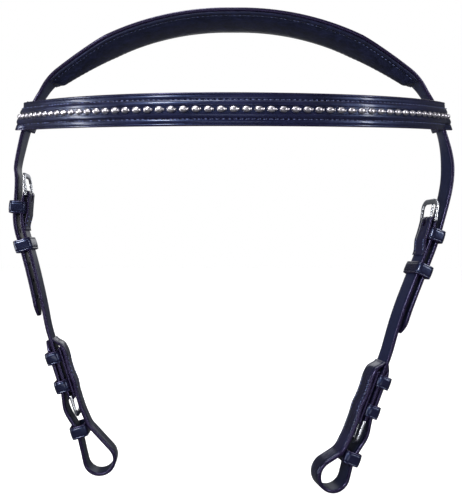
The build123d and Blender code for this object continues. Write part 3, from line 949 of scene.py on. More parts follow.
# ------------------------------------------------------------------ shared ground of the sub-assemblies
@dataclass
class Workshop:
    """The finishes, made once."""

    grain: bpy.types.Material
    edge: bpy.types.Material
    flesh: bpy.types.Material
    lining: bpy.types.Material
    thread: bpy.types.Material
    steel: bpy.types.Material
    cast: bpy.types.Material
    nickel: bpy.types.Material
    keeper: bpy.types.Material
    band: bpy.types.Material

    @classmethod
    def open(cls) -> "Workshop":
        """Mix every finish."""
        return cls(grain=BridleLeather().make(), edge=BurnishedEdge().make(), flesh=FleshSide().make(),
                   lining=SoftLining().make(), thread=WaxedThread().make(), steel=SatinSteel().make(),
                   cast=SatinSteel("sand_cast_steel", "#6f7278", "#a9acb3", 0.42, 0.9 * MM, 0.6).make(),
                   nickel=SatinSteel("bright_nickel", "#8f8b94", "#d9d5dc", 0.36, 3 * MM, 0.08).make(),
                   keeper=BridleLeather("keeper_leather", "#080714", "#0f0c20", roughness=0.3, coat=0.3).make(),
                   band=BridleLeather("browband_leather", "#090817", "#120f28", roughness=0.34,
                                      coat=0.25).make())

    @property
    def straps(self) -> list[bpy.types.Material]:
        """Grain, edge and flesh of a strap."""
        return [self.grain, self.edge, self.flesh]


def place_piece(piece: bpy.types.Object, body: str, slot: str, *nodes: str) -> bpy.types.Object:
    """Hang a finished piece on its body, and report it.

    Args:
        piece: the piece.
        body: the body that it rides on.
        slot: the name of a material slot; not used.
        nodes: the plain nodes that it stands for.

    Returns:
        The piece.
    """
    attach(piece, body)
    if nodes:
        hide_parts(*nodes)
    log.info("%s on %s, %d faces", piece.name, body, len(piece.data.polygons))
    return piece


@dataclass
class CrownLine:
    """The crownpiece's mid line, from the poll down to the flex line of each billet."""

    half_length: float = 202 * MM
    underside: float = 6.9 * MM   # foam and lining under the strap at the poll
    drape: tuple[Pair, ...] = ((0.0248, -90.0), (0.3069, -73.0), (0.2153, -60.7), (0.1485, -56.3),
                               (0.0866, -31.9), (0.0347, -31.9), (0.0594, -23.1), (0.1238, -13.2))
    band_at: float = 20.4 * MM    # middle of the browband's loop, above the flex line

    def __post_init__(self) -> None:
        """Work out the route."""
        start = self.underside + STOCK.sewn_gap + STOCK.thick / 2
        drape = [(share * self.half_length, lean) for share, lean in self.drape]
        self.route = Route((0.0, start), 0.0, falling(-90.0, drape))

    def station(self, sign: int, s: float, offset: float = 0.0) -> tuple[Vector, Vector, Vector]:
        """A place on the line.

        Args:
            sign: which side.
            s: distance from the poll.
            offset: outward move.

        Returns:
            The point, the direction down the strap and the outward normal.
        """
        p, z, heading = self.route.at(s, offset)
        a = math.radians(heading)
        return (Vector((sign * p, 0, z)), Vector((sign * math.cos(a), 0, math.sin(a))),
                Vector((-sign * math.sin(a), 0, math.cos(a))))


# ------------------------------------------------------------------ crownpiece
@dataclass
class CrownPiece:
    """Outer strap with its padded, rolled lining and the stitching that joins them."""

    shop: Workshop
    line: CrownLine
    width: float = 42 * MM
    taper_starts: float = 105 * MM    # distances up the strap from the flex line
    pad_ends: float = 52 * MM
    taper_ends: float = 40.5 * MM
    seam_in: float = 4.3 * MM         # stitch row, in from the edge
    roll: float = 2.3 * MM            # thickness of the lining's rolled edge
    depth: float = 5.3 * MM           # of the pad at the poll
    fuller: float = 1.6 * MM          # and how much deeper it is beside its ends
    stitch: float = 3.4 * MM
    pitch: float = 1.8 * MM

    def half_width(self, s: float) -> float:
        """Half the strap's width at a distance from the poll."""
        share = (self.line.half_length - self.taper_starts - s) / (self.taper_ends - self.taper_starts)
        return self.width / 2 + min(1.0, max(0.0, share)) * (STOCK.width - self.width) / 2

    def build(self) -> None:
        """Strap, pad and stitches."""
        self.build_strap()
        self.build_pad()

    def build_strap(self) -> None:
        """The outer strap, down to inside the browband's loops."""
        end = self.line.half_length - self.line.band_at
        stations = []
        for d in steps(-end, end, self.pitch):
            sign = -1 if d < 0 else 1
            centre, _, out = self.line.station(sign, abs(d))
            stations.append(Station(centre, ALONG_HEAD, out, 2 * self.half_width(abs(d)), STOCK.thick))
        piece = strap("crown_outer_strap", stations, self.shop.straps,
                      StrapSection(crease_at=2.2 * MM, dome=0.3 * MM))
        place_piece(piece, "crown", "strap_leather", "crown_strap")

    def pad_outline(self, half: float, swell: float, depth: float) -> list[Pair]:
        """Half the pad's section: from the strap at its edge, round the roll, over the seam to the middle.

        Args:
            half: half the pad's width.
            swell: 0 where the pad ends, 1 where it is full.
            depth: the pad's depth where it is full.

        Returns:
            (across, depth under the strap) pairs.
        """
        roll = self.roll * (0.75 + 0.25 * swell)
        r = roll / 2
        seam = half - self.seam_in
        points = [(half - r + r * math.sin(math.radians(t)), r - r * math.cos(math.radians(t)))
                  for t in (0, 30, 60, 90, 120, 150)]
        points += [(half - r - 0.4 * MM, roll), (seam + 1.1 * MM, roll - 0.05 * MM),
                   (seam + 0.45 * MM, roll - 0.45 * MM), (seam, roll - 0.75 * MM),
                   (seam - 0.45 * MM, roll - 0.45 * MM)]
        full = roll + (depth - roll) * swell
        inner = seam - 0.9 * MM
        for u in (1.0, 0.97, 0.92, 0.85, 0.75, 0.6, 0.4, 0.2, 0.0):
            rise = (1 - u ** 2.6) ** (1 / 2.2)
            points.append((inner * u, roll - 0.1 * MM + (full - roll) * rise))
        return points

    def build_pad(self) -> None:
        """The stuffed lining under the strap, and the thread that runs in its seams."""
        end = self.line.half_length - self.pad_ends
        rings, seams = [], {-1: [], 1: []}
        tip = end + 0.7 * MM
        for d in [-tip, *steps(-end, end, self.pitch), tip]:
            sign = -1 if d < 0 else 1
            s = abs(d)
            near = end - s
            swell = smooth_step(near / (7 * MM)) ** 0.6 if near > 0 else 0.0
            squeeze = 1.0 if near > 0 else 0.93
            pucker = 0.10 * MM * math.sin(2 * math.pi * s / self.stitch)
            half = (self.half_width(s) - 0.35 * MM) * squeeze
            under, _, out = self.line.station(sign, s, -STOCK.thick / 2 - STOCK.sewn_gap)
            shape = self.pad_outline(half, swell, self.depth + self.fuller * smooth_step(s / end))
            scale = 1.0 if near > 0 else 0.6
            deep = [(a, n * scale + (pucker if a < 0.8 * half else 0)) for a, n in shape]
            rings.append([under + ALONG_HEAD * a - out * n for a, n in deep]
                         + [under - ALONG_HEAD * a - out * n for a, n in reversed(deep[:-1])])
            if near > 1 * MM:
                roll = self.roll * (0.75 + 0.25 * swell)
                for edge in (-1, 1):
                    point = under + ALONG_HEAD * edge * (half - self.seam_in) - out * (roll - 0.52 * MM)
                    seams[edge].append((point, -out))
        bm = bmesh.new()
        skin(bm, rings, [0] * len(rings[0]))
        pad = new_object("crown_padded_lining", bm, [self.shop.lining])
        place_piece(pad, "crown", "lining_leather", "crown_foam", "crown_lining")

        bm = bmesh.new()
        for edge in (-1, 1):
            stitch_row(bm, seams[edge], self.stitch, 2.6 * MM, 0.42 * MM)
        place_piece(new_object("crown_seam_stitches", bm, [self.shop.thread]), "crown", "lining_leather")


# ------------------------------------------------------------------ browband
@dataclass(frozen=True)
class BandSection:
    """The browband's cut end: a raised, stuffed middle with a channel for the beads and sewn edges."""

    raise_half: float = 6.0 * MM      # half height of the raised middle
    rise: float = 1.6 * MM
    channel_half: float = 2.4 * MM
    channel: float = 0.7 * MM
    seam: float = 5.7 * MM            # stitch rows, from the middle
    seam_depth: float = 0.35 * MM
    crease_at: float = 1.5 * MM       # edge crease, in from the edge
    crease: float = 0.25 * MM

    def outline(self, width: float, thick: float, relief: float) -> Outline:
        """The closed outline at one place.

        Args:
            width: the band's height.
            thick: thickness of its flat edges.
            relief: 1 for the full raised middle, 0 for flat leather.

        Returns:
            (across, out, face) for each point; the face is that of the span after it.
        """
        half = width / 2
        r = 0.45 * thick
        flat = half - r
        c = half - self.crease_at
        face = thick / 2
        rise = self.rise * relief
        floor = face + rise - self.channel * relief
        upper = [(0.0, floor), (self.channel_half - 0.25 * MM, floor),
                 (self.channel_half + 0.15 * MM, face + rise - 0.05 * MM * relief), (3.2 * MM, face + rise),
                 (4.2 * MM, face + 0.92 * rise), (5.0 * MM, face + 0.62 * rise),
                 (self.seam - 0.3 * MM, face + 0.22 * rise - 0.2 * relief * self.seam_depth),
                 (self.seam, face - relief * self.seam_depth),
                 (self.seam + 0.5 * MM, face + 0.06 * MM * relief),
                 (self.raise_half + 1.3 * MM, face + 0.05 * MM * relief),
                 (c - 0.35 * MM, face), (c, face - self.crease * relief), (c + 0.35 * MM, face), (flat, face)]
        top = [(-x, n) for x, n in reversed(upper[1:])] + upper
        grain = [(x, n, Face.GRAIN) for x, n in top[:-1]]
        return grain + lower_outline(flat, r, thick, (0, 30, 60, 90, 120, 150))


@dataclass
class Browband:
    """Face leather whose ends wrap round the crownpiece as loops, its backing, beads and stitching."""

    shop: Workshop
    line: CrownLine
    height: float = 20 * MM
    face: float = 1.5 * MM
    backing: float = 1.2 * MM
    backing_height: float = 19 * MM
    loop: float = 1.8 * MM
    play_flat: float = 1.1 * MM
    play_edge: float = 1.4 * MM
    loop_bend: float = 2.2 * MM
    loop_lead: float = 9 * MM         # where the band starts to lean over into its loops
    margin: float = 1.5 * MM          # from the turn of the loops to the first place of the face
    pitch: float = 1.8 * MM
    dip: float = 9.0                  # degrees that the band slopes down from its loops to its middle
    bead_pitch: float = 7.5 * MM
    bead_length: float = 6.4 * MM
    bead_half: float = 2.0 * MM
    bead_rise: float = 2.0 * MM
    bead_nip: float = 0.7             # where the lobe meets the collar, a share of half its length
    stitch: float = 3.6 * MM
    plan_left: tuple[Pair, ...] = ((0.42, 30.0), (0.33, 19.0), (0.25, 9.0))
    plan_right: tuple[Pair, ...] = ((0.42, 22.0), (0.33, 22.0), (0.25, 14.0))
    section: BandSection = field(default_factory=BandSection)

    def __post_init__(self) -> None:
        """Work out the band's line in plan, from loop to loop."""
        spans = list(reversed(self.plan_left)) + list(self.plan_right)
        trial = Route((0.0, 0.0), 0.0, spans)
        x, y, _ = trial.at(trial.length)
        at = self.line.half_length - self.line.band_at
        self.left = self.line.station(-1, at)
        self.right = self.line.station(1, at)
        corner = STOCK.thick / 2 + self.play_flat + self.loop
        front = STOCK.width / 2 + self.play_edge
        chord = self.right[0].x - self.left[0].x + 2 * corner
        grow = chord / math.hypot(x, y)
        heading = -math.degrees(math.atan2(y, x))
        self.level = self.right[0].z
        self.turn = Matrix.Rotation(math.radians(self.dip), 3, "X")
        self.up = self.turn @ UP
        self.route = Route((self.left[0].x - corner, -front), heading, [(a * grow, turn) for a, turn in spans])

    def build(self) -> None:
        """Every piece of the band."""
        self.build_face()
        self.build_backing()
        self.build_beads()
        self.build_stitches()

    def point(self, s: float, offset: float) -> tuple[Vector, Vector]:
        """A place on the band, moved out from its back face.

        Args:
            s: distance along it from the left.
            offset: outward move.

        Returns:
            The point and the outward direction.
        """
        x, y, heading = self.route.at(s, -offset)
        a = math.radians(heading)
        return (Vector((0, 0, self.level)) + self.turn @ Vector((x, y, 0)),
                self.turn @ Vector((math.sin(a), -math.cos(a), 0)))

    def loop_points(self, sign: int) -> list[tuple[Vector, Vector]]:
        """The wrap round the crownpiece, from the band's end round the back to its own inner face.

        Args:
            sign: which side.

        Returns:
            (point, width direction) pairs.
        """
        centre, down, out = self.right if sign > 0 else self.left
        up = -down
        half_edge = STOCK.width / 2 + self.play_edge + self.loop / 2
        half_flat = STOCK.thick / 2 + self.play_flat + self.loop / 2
        bend = self.loop_bend
        points = [(half_flat, -half_edge + bend)]
        for side, first in ((1, 0), (-1, 90)):
            for a, b in (polar(bend, t) for t in range(first, first + 91, 15)):
                points.append((side * (half_flat - bend) + a, half_edge - bend + b))
        points.append((-half_flat, -half_edge + 1.2 * self.loop))
        return [(centre + out * a + ALONG_HEAD * b, up) for a, b in filled(points, 1.5 * MM)]

    def build_face(self) -> None:
        """One long piece: loop, band and loop."""
        rows = []
        lean = {sign: down / down.z for sign, (_, down, _) in ((-1, self.left), (1, self.right))}
        for s in steps(self.margin, self.route.length - self.margin, self.pitch):
            centre, _ = self.point(s, self.face / 2)
            near = min(s, self.route.length - s)
            sign = -1 if s < self.route.length / 2 else 1
            share = 1 - smooth_step((near - 2 * self.margin) / self.loop_lead)
            across = self.up.lerp(lean[sign], share)
            rows.append((centre, across, 1.0 - 0.35 * share, self.face))
        left, right = ([(point, up, 0.65 * (1 - smooth_step(i / 8)), self.loop)
                        for i, (point, up) in enumerate(self.loop_points(sign))] for sign in (-1, 1))
        rows = list(reversed(left)) + rows + right
        base = along_line([row[0] for row in rows], lambda i: rows[i][1], lambda i: self.height,
                          lambda i: rows[i][3])
        stations = [replace(st, relief=row[2]) for st, row in zip(base, rows)]
        piece = strap("browband_face_and_loops", stations, [self.shop.band, self.shop.edge, self.shop.flesh],
                      self.section)
        place_piece(piece, "browband", "browband_leather", "browband_face", "browband_core",
                    "left_browband_loop", "right_browband_loop")

    def build_backing(self) -> None:
        """The thin leather sewn to the back of the band."""
        rows = []
        for s in steps(7 * MM, self.route.length - 7 * MM, self.pitch):
            centre, out = self.point(s, -self.backing / 2)
            rows.append(Station(centre, self.up, -out, self.backing_height, self.backing))
        piece = strap("browband_backing", rows, [self.shop.lining, self.shop.edge, self.shop.flesh])
        place_piece(piece, "browband", "lining_leather", "browband_lining")

    def bead_radius(self, x: float) -> float:
        """Radius of a bead at a share of its length, from -1 to 1: a long lobe, a nip and a short collar."""
        nip = self.bead_nip
        if x < nip:
            u = (x + 1) / (nip + 1) * 2 - 1
            return max(0.0, 1 - abs(u) ** 2.4) ** 0.5
        u = (x - nip) / (1 - nip) * 2 - 1
        return 0.55 * max(0.0, 1 - abs(u) ** 2.6) ** 0.5

    def build_beads(self) -> None:
        """The row of clincher beads in the channel."""
        margin = 0.7 * self.bead_length
        count = int((self.route.length - 2 * margin) / self.bead_pitch) + 1
        start = (self.route.length - (count - 1) * self.bead_pitch) / 2
        seat = self.face + self.section.rise - self.section.channel + 0.05 * MM
        bm = bmesh.new()
        for k in range(count):
            centre, out = self.point(start + k * self.bead_pitch, seat)
            along = self.up.cross(out).normalized()
            rings = []
            for x in steps(-1, 1, 1 / 8):
                r = max(0.05, self.bead_radius(x), 0.42 if abs(x - self.bead_nip) < 0.1 else 0)
                middle = centre + along * x * self.bead_length / 2 - out * 0.15 * MM
                rings.append([middle + self.up * self.bead_half * u + out * self.bead_rise * n
                              for u, n in (polar(r, t) for t in range(0, 181, 18))])
            skin(bm, rings, [0] * len(rings[0]))
        piece = new_object("clincher_bead_row", bm, [self.shop.nickel])
        place_piece(piece, "browband", "clincher_metal", "clincher_beads")
        log.info("%d beads", count)

    def build_stitches(self) -> None:
        """Two rows of stitches beside the raised middle."""
        bm = bmesh.new()
        for hand in (-1, 1):
            row = []
            for s in steps(6 * MM, self.route.length - 6 * MM, 1.2 * MM):
                point, out = self.point(s, self.face - 0.18 * MM)
                row.append((point + self.up * hand * self.section.seam, out))
            stitch_row(bm, row, self.stitch, 2.5 * MM, 0.4 * MM)
        place_piece(new_object("browband_stitches", bm, [self.shop.thread]), "browband", "browband_leather")


# ------------------------------------------------------------------ cheekpieces
@dataclass
class Cheekpiece:
    """Billet, cheek strap, bit strap, keepers and buckles of one side."""

    shop: Workshop
    line: CrownLine
    hand: Hand
    lean: float                      # the cheek strap's lean at the upper bar
    drape: tuple[Pair, ...]
    billet_clear: float              # billet's tip, above the turned-up tip
    loop_hang: float                 # the bit loop's round, below keeper c
    upper_tilt: float                # how far the upper buckle stands off the strap
    grip: float                      # how long the billet keeps the crown's line, a share of its free fall
    length: float = 158.5 * MM
    turn_up: float = 45 * MM
    stack_margin: float = 2.5 * MM
    upper_chape: float = 28 * MM
    inner_leg: float = 41 * MM       # reach of the bit strap's sewn inner leg above the lower bar
    lower_chape: float = 38 * MM
    upper_keeper_at: float = 10.5 * MM
    runner_at: float = 38.5 * MM
    billet_join: float = 5 * MM
    hole: float = 1.8 * MM
    hole_pitch: float = 13 * MM
    first_hole: float = 14 * MM
    holes: int = 5
    turn_up_hole: float = -21 * MM
    loop_radius: float = 9.9 * MM
    loop_offset: float = -8 * MM
    keepers: tuple[tuple[str, float], ...] = (("a", -32 * MM), ("b", -9.5 * MM))
    keeper_c: float = 27 * MM
    pinch: float = 1.2 * MM
    pinch_sag: float = 1.2 * MM
    bow: float = 5.8 * MM
    bow_at: float = 9 * MM
    flare: float = 1.4 * MM
    flare_from: float = 12 * MM
    flare_ends: float = 2 * MM       # above keeper c
    keeper_play: float = 0.25 * MM
    keeper_slack: float = 0.8 * MM
    skive: float = 5 * MM            # the inner leg's thinned end, which closes on the strap past the chape
    bulge: float = 0.7 * MM          # how far the inner leg stands up over the keepers sewn under it
    runner_play: float = 0.55 * MM
    tip: float = 9 * MM              # length of a strap's blunt point
    twist_lead: float = 10 * MM      # the billet starts to turn square to the side's plane above the flex line
    twist: float = 32 * MM           # and has turned this far down
    slot: float = 1.7 * MM           # half width of the slot for a buckle's tongue
    strap_bend: float = 22 * MM      # of the turned-up end
    stitch: float = 3.2 * MM
    stitch_in: float = 2.6 * MM      # stitch rows, in from the edge
    stitch_sink: float = 0.12 * MM
    pitch: float = 1.4 * MM
    tip_pitch: float = 0.75 * MM

    def __post_init__(self) -> None:
        """Set up the side's plane and the cheek strap's line from the joints."""
        name = self.hand.value
        self.body = f"{name}_cheekpiece"
        self.w = Vector(JOINTS[f"{name}_cheek_swing"]["axis"]).normalized()
        self.out = UP.cross(self.w)
        self.flex = joint_point(f"{name}_cheek_swing")
        bar = joint_point(f"{name}_upper_buckle_turn")
        heading = -90 - self.lean
        a = math.radians(heading)
        p = (bar - self.flex).dot(self.out) + STOCK.bar_offset * math.sin(a)
        z = bar.z - STOCK.bar_offset * math.cos(a)
        free = self.length - self.turn_up - self.stack_margin
        drape = [(share * free, end) for share, end in self.drape]
        drape.append((self.length + 90 * MM - free, drape[-1][1]))
        self.route = Route((p, z), heading, falling(self.lean, drape))
        miss = (self.point(self.length, STOCK.bar_offset) - joint_point(f"{name}_lower_buckle_turn")).length
        log.info("%s lower bar is %.2f mm from its joint", name, miss / MM)

    def place(self, p: float, z: float) -> Vector:
        """A point of the side's plane, p outward from the flex line, z its height."""
        return Vector((self.flex.x, self.flex.y, z)) + self.out * p

    def point(self, s: float, offset: float = 0.0) -> Vector:
        """A point beside the cheek strap, s down from the upper bar."""
        p, z, _ = self.route.at(s, offset)
        return self.place(p, z)

    def station(self, s: float, offset: float = 0.0, tilt: float = 0.0) -> tuple[Vector, Vector, Vector]:
        """A local frame on the strap.

        Args:
            s: distance down from the upper bar.
            offset: outward move.
            tilt: extra turn in degrees.

        Returns:
            The point, the direction up the strap and the outward normal.
        """
        a = math.radians(self.route.at(s)[2] + 180 + tilt)
        up = self.out * math.cos(a) + UP * math.sin(a)
        return self.point(s, offset), up, up.cross(self.w).normalized()

    def build(self) -> None:
        """Every piece of this side."""
        self.build_billet()
        self.build_cheek_strap()
        self.build_bit_strap()
        self.build_keepers()
        for level in Level:
            self.build_buckle(level)

    def tip_width(self, left: float) -> float:
        """Width of a strap that ends in a blunt point, at a distance from its tip."""
        share = min(1.0, max(0.0, left / self.tip))
        return STOCK.width * (0.34 + 0.66 * math.sin(share * math.pi / 2) ** 0.9)

    # -------------------------------------------------------------- billet
    def billet_centres(self) -> tuple[list[Vector], list[Vector]]:
        """The billet's mid line, from inside the browband's loop to its tip.

        Returns:
            The points, and the width direction at each.
        """
        line = self.line
        sign = self.hand.sign
        end = line.half_length
        inside = end - line.band_at - 1.5 * MM
        rows = [line.station(sign, s)[0] for s in steps(inside, end - 2 * MM, self.pitch)]
        _, _, heading = line.route.at(end)
        start = line.station(sign, end)[0]
        first = Vector((sign * math.cos(math.radians(heading)), 0, math.sin(math.radians(heading))))
        finish, up, _ = self.station(self.billet_join, STOCK.billet_offset)
        grip = self.grip * (finish - start).length
        bends = (start, start + first * grip, finish + up * grip, finish)
        for t in steps(0, 1, self.pitch / (finish - start).length):
            u = 1 - t
            shares = (u ** 3, 3 * u * u * t, 3 * u * t * t, t ** 3)
            rows.append(sum((bend * share for bend, share in zip(bends, shares)), Vector()))
        tip = self.length - self.turn_up - self.billet_clear
        lying = steps(self.billet_join, tip - self.tip, self.pitch)[1:]
        lying += steps(tip - self.tip, tip, self.tip_pitch)[1:]
        rows += [self.point(s, STOCK.billet_offset) for s in lying]
        straight = self.w if self.w.y > 0 else -self.w
        turned = [smooth_step((self.flex.z + self.twist_lead - p.z) / self.twist) for p in rows]
        return rows, [ALONG_HEAD.lerp(straight, share).normalized() for share in turned]

    def build_billet(self) -> None:
        """The crown strap's free end, which bends at the flex line and lies over the cheek strap."""
        rows, across = self.billet_centres()
        measure = [0.0]
        for a, b in zip(rows, rows[1:]):
            measure.append(measure[-1] + (b - a).length)
        total = measure[-1]
        base = along_line(rows, lambda i: across[i], lambda i: self.tip_width(total - measure[i]),
                          lambda i: STOCK.thick)
        piece = strap(f"{self.hand.value}_billet", faced(base, self.out, 0), self.shop.straps)
        tip = self.length - self.turn_up - self.billet_clear
        spots = [tip - self.first_hole - i * self.hole_pitch for i in range(self.holes)]
        spots = [s for s in spots if abs(s - self.runner_at) > STOCK.keeper_length]
        places = []
        for s in spots:
            centre, _, out = self.station(s, STOCK.billet_offset)
            places.append(Station(centre, self.w, out, STOCK.width, STOCK.thick))
        punch(piece, places, self.hole)
        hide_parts(f"{self.hand.value}_crown_billet")
        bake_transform(piece)
        log.info("%s bends from crown to %s", piece.name, self.body)

    # -------------------------------------------------------------- cheek strap
    def upper_chape_at(self, s: float) -> tuple[float, float]:
        """The end folded back from the upper bar: past the keeper it thins and closes on the strap.

        Args:
            s: distance down from the bar.

        Returns:
            Offset of its mid line, and its thickness.
        """
        share = smooth_step((s - 15 * MM) / (self.upper_chape - 16 * MM))
        thick = STOCK.chape * (1 - 0.6 * share)
        return STOCK.chape_offset + share * (2 * STOCK.fold - 0.2 * MM) + (STOCK.chape - thick) / 2, thick

    def build_cheek_strap(self) -> None:
        """The cheek strap with both ends folded back round their bars, and its sewing."""
        turn = [polar(STOCK.fold + STOCK.chape / 2, t) for t in range(-90, 91, 12)]
        thin = (STOCK.chape - STOCK.thick) / 2
        gap = 0.6 * MM                # between a fold and the flat spans beside it
        path = [(s, *self.upper_chape_at(s)) for s in steps(self.upper_chape, gap, self.pitch)]
        path += [(-s, STOCK.bar_offset + n, STOCK.chape) for s, n in turn]
        for s in steps(gap, self.length - gap, self.pitch):
            near = min(s, self.length - s)
            share = smooth_step((near - STOCK.fold) / (4 * MM))
            path.append((s, thin * (1 - share), STOCK.chape + (STOCK.thick - STOCK.chape) * share))
        path += [(self.length + s, STOCK.bar_offset - n, STOCK.chape) for s, n in turn]
        path += [(s, STOCK.chape_offset, STOCK.chape)
                 for s in steps(self.length - gap, self.length - self.lower_chape, self.pitch)]
        centres = [self.point(s, n) for s, n, _ in path]
        base = along_line(centres, lambda i: self.w, lambda i: STOCK.width, lambda i: path[i][2])
        stations = faced(base, self.out, len(base) // 2)
        piece = strap(f"{self.hand.value}_folded_cheek_strap", stations, self.shop.straps,
                      StrapSection(crease_at=1.3 * MM))
        for at in (0.0, self.length):
            self.cut_tongue_slot(piece, at)
        place_piece(piece, self.body, "strap_leather", f"{self.hand.value}_cheek_strap")
        self.build_stitches()

    def cut_tongue_slot(self, piece: bpy.types.Object, at: float) -> None:
        """Open the fold for the buckle's tongue.

        Args:
            piece: the cheek strap.
            at: the bar's place down the strap.
        """
        centre, up, out = self.station(at, STOCK.bar_offset)
        straight = STOCK.fold + STOCK.chape + 3.0 * MM - self.slot
        round_end = [polar(self.slot, t) for t in range(0, 181, 20)]
        bm = bmesh.new()
        rings = [[centre + out * level + self.w * end * x + up * end * (straight + y)
                  for end in (1, -1) for x, y in round_end] for level in (-3 * STOCK.thick, 3 * STOCK.thick)]
        skin(bm, rings, [0] * len(rings[0]))
        cut(piece, bm)

    def build_stitches(self) -> None:
        """Rows of stitches where the straps are sewn together."""
        bm = bmesh.new()
        count = 0
        outer = STOCK.thick / 2 + self.stitch_sink
        strap_face = STOCK.bit_strap_offset - STOCK.thick / 2 - self.stitch_sink

        def chape_face(s: float) -> float:
            """Offset of the folded-back end's inner face."""
            offset, thick = self.upper_chape_at(s)
            return offset - thick / 2 - self.stitch_sink

        upper = (16 * MM, self.upper_chape - 1 * MM)
        lower = (self.length - self.inner_leg + 11 * MM, self.length - 4 * MM)
        runs = ((*upper, lambda s: outer), (*upper, chape_face),
                (*lower, lambda s: strap_face - self.lift(s - self.length)))
        for start, end, offset in runs:
            for edge in (-1, 1):
                row = []
                for s in steps(start, end, 1 * MM):
                    place, face = self.station(s, offset(s)), 1 if offset(s) > 0 else -1
                    row.append((place[0] + self.w * edge * (STOCK.width / 2 - self.stitch_in), place[2] * face))
                count += stitch_row(bm, row, self.stitch, 2.3 * MM, 0.36 * MM)
        piece = new_object(f"{self.hand.value}_cheek_stitches", bm, [self.shop.thread])
        place_piece(piece, self.body, "strap_leather")
        log.info("%d stitches", count)

    # -------------------------------------------------------------- bit strap
    def bit_strap_route(self) -> Route:
        """Down the inner side, round the bit loop and up the outer side to the tip."""
        radius = self.loop_radius + STOCK.thick / 2
        drop = self.keeper_c + STOCK.keeper_length / 2 + self.loop_hang + radius
        centre = (drop, self.loop_offset)
        offset = STOCK.bit_strap_offset
        inner = (self.keeper_c - self.flare_ends, offset - self.flare)
        outer = (self.keeper_c, self.pinch)

        def tangent(point: Pair, hand: int) -> float:
            """Direction of the line from a point that touches the loop's round."""
            dx, dy = centre[0] - point[0], centre[1] - point[1]
            return math.atan2(dy, dx) + hand * math.asin(radius / math.hypot(dx, dy))

        going, coming = tangent(inner, -1), tangent(outer, 1) + math.pi
        step = (coming - going) / 3
        corners = [(-self.inner_leg - self.skive, offset, 0), (self.flare_from, offset, 60 * MM),
                   (*inner, 14 * MM)]
        for i in range(3):
            a = going + step * (i + 0.5) - math.pi / 2
            far = radius / math.cos(step / 2)
            corners.append((centre[0] + far * math.cos(a), centre[1] + far * math.sin(a), radius))
        bend = self.strap_bend
        corners += [(*outer, bend), (self.bow_at, self.bow, bend), (-4 * MM, STOCK.turn_up_offset, bend),
                    (-self.turn_up, STOCK.turn_up_offset, 0)]
        return cornered(corners)

    def lift(self, along: float) -> float:
        """How far the inner leg rises over the keepers sewn in under it.

        Args:
            along: distance below the lower bar.

        Returns:
            The rise.
        """
        spread = 0.55 * STOCK.keeper_length
        return sum(self.bulge * math.exp(-((along - at) / spread) ** 2) for _, at in self.keepers)

    def build_bit_strap(self) -> None:
        """The strap that makes the bit loop and turns up over the lower buckle."""
        route = self.bit_strap_route()
        tip_from = route.length - self.tip
        places = steps(0, tip_from, 1.1 * MM) + steps(tip_from, route.length, self.tip_pitch)[1:]
        held = self.lower_chape + 0.5 * MM
        centres, thick = [], []
        for s in places:
            along, offset, _ = route.at(s)
            thick.append(STOCK.thick * (0.35 + 0.65 * smooth_step(s / (10 * MM))))
            move = (STOCK.thick - thick[-1]) / 2
            if s < self.inner_leg + 8 * MM:
                closing = smooth_step((-along - held) / (self.inner_leg + self.skive - held))
                move += closing * (2 * STOCK.fold + STOCK.chape - 0.1 * MM) - self.lift(along)
            centres.append(self.point(self.length + along, offset + move))
        base = along_line(centres, lambda i: self.w, lambda i: self.tip_width(route.length - places[i]),
                          lambda i: thick[i])
        piece = strap(f"{self.hand.value}_turned_bit_strap", faced(base, self.out, -1), self.shop.straps)
        centre, _, out = self.station(self.length + self.turn_up_hole, STOCK.turn_up_offset)
        punch(piece, [Station(centre, self.w, out, STOCK.width, 0.6 * STOCK.thick)], self.hole)
        place_piece(piece, self.body, "strap_leather", f"{self.hand.value}_bit_strap")

    # -------------------------------------------------------------- keepers
    def keeper(self, name: str, node: str, body: str, at: float, low: float, high: float, play: float) -> None:
        """A soft ring of leather round the straps.

        Args:
            name: the piece's name.
            node: the plain node that it stands for.
            body: the body that it rides on.
            at: its middle, down from the upper bar.
            low, high: offsets of what it holds.
            play: its room round that.
        """
        centre, up, out = self.station(at)
        mid = STOCK.keeper / 2
        half_w = STOCK.width / 2 + play + self.keeper_slack + mid
        low, high = low - play - mid, high + play + self.keeper_slack + mid
        middle, half_n = (low + high) / 2, (high - low) / 2
        bend = 2.5 * MM
        points = []
        for a, b, first in ((1, 1, 0), (-1, 1, 90), (-1, -1, 180), (1, -1, 270)):
            points += [(a * (half_w - bend) + x, b * (half_n - bend) + n)
                       for x, n in (polar(bend, t) for t in range(first, first + 91, 15))]
        centres = []
        for x, n in filled(points, 1.6 * MM, closed=True):
            bulge = 0.25 * MM * (1 - (x / half_w) ** 2) * (1 if n > 0 else 0)
            centres.append(centre + self.w * x + out * (middle + n + bulge))
        base = along_line(centres, lambda i: up, lambda i: STOCK.keeper_length, lambda i: STOCK.keeper,
                          closed=True)
        hub = centre + out * middle
        stations = [faced([st], st.centre - hub, 0)[0] for st in base]
        piece = strap(name, stations, [self.shop.keeper, self.shop.edge, self.shop.flesh],
                      StrapSection(crease_at=1.4 * MM, crease=0.28 * MM, dome=0.25 * MM), closed=True)
        place_piece(piece, body, "keeper_leather", node)

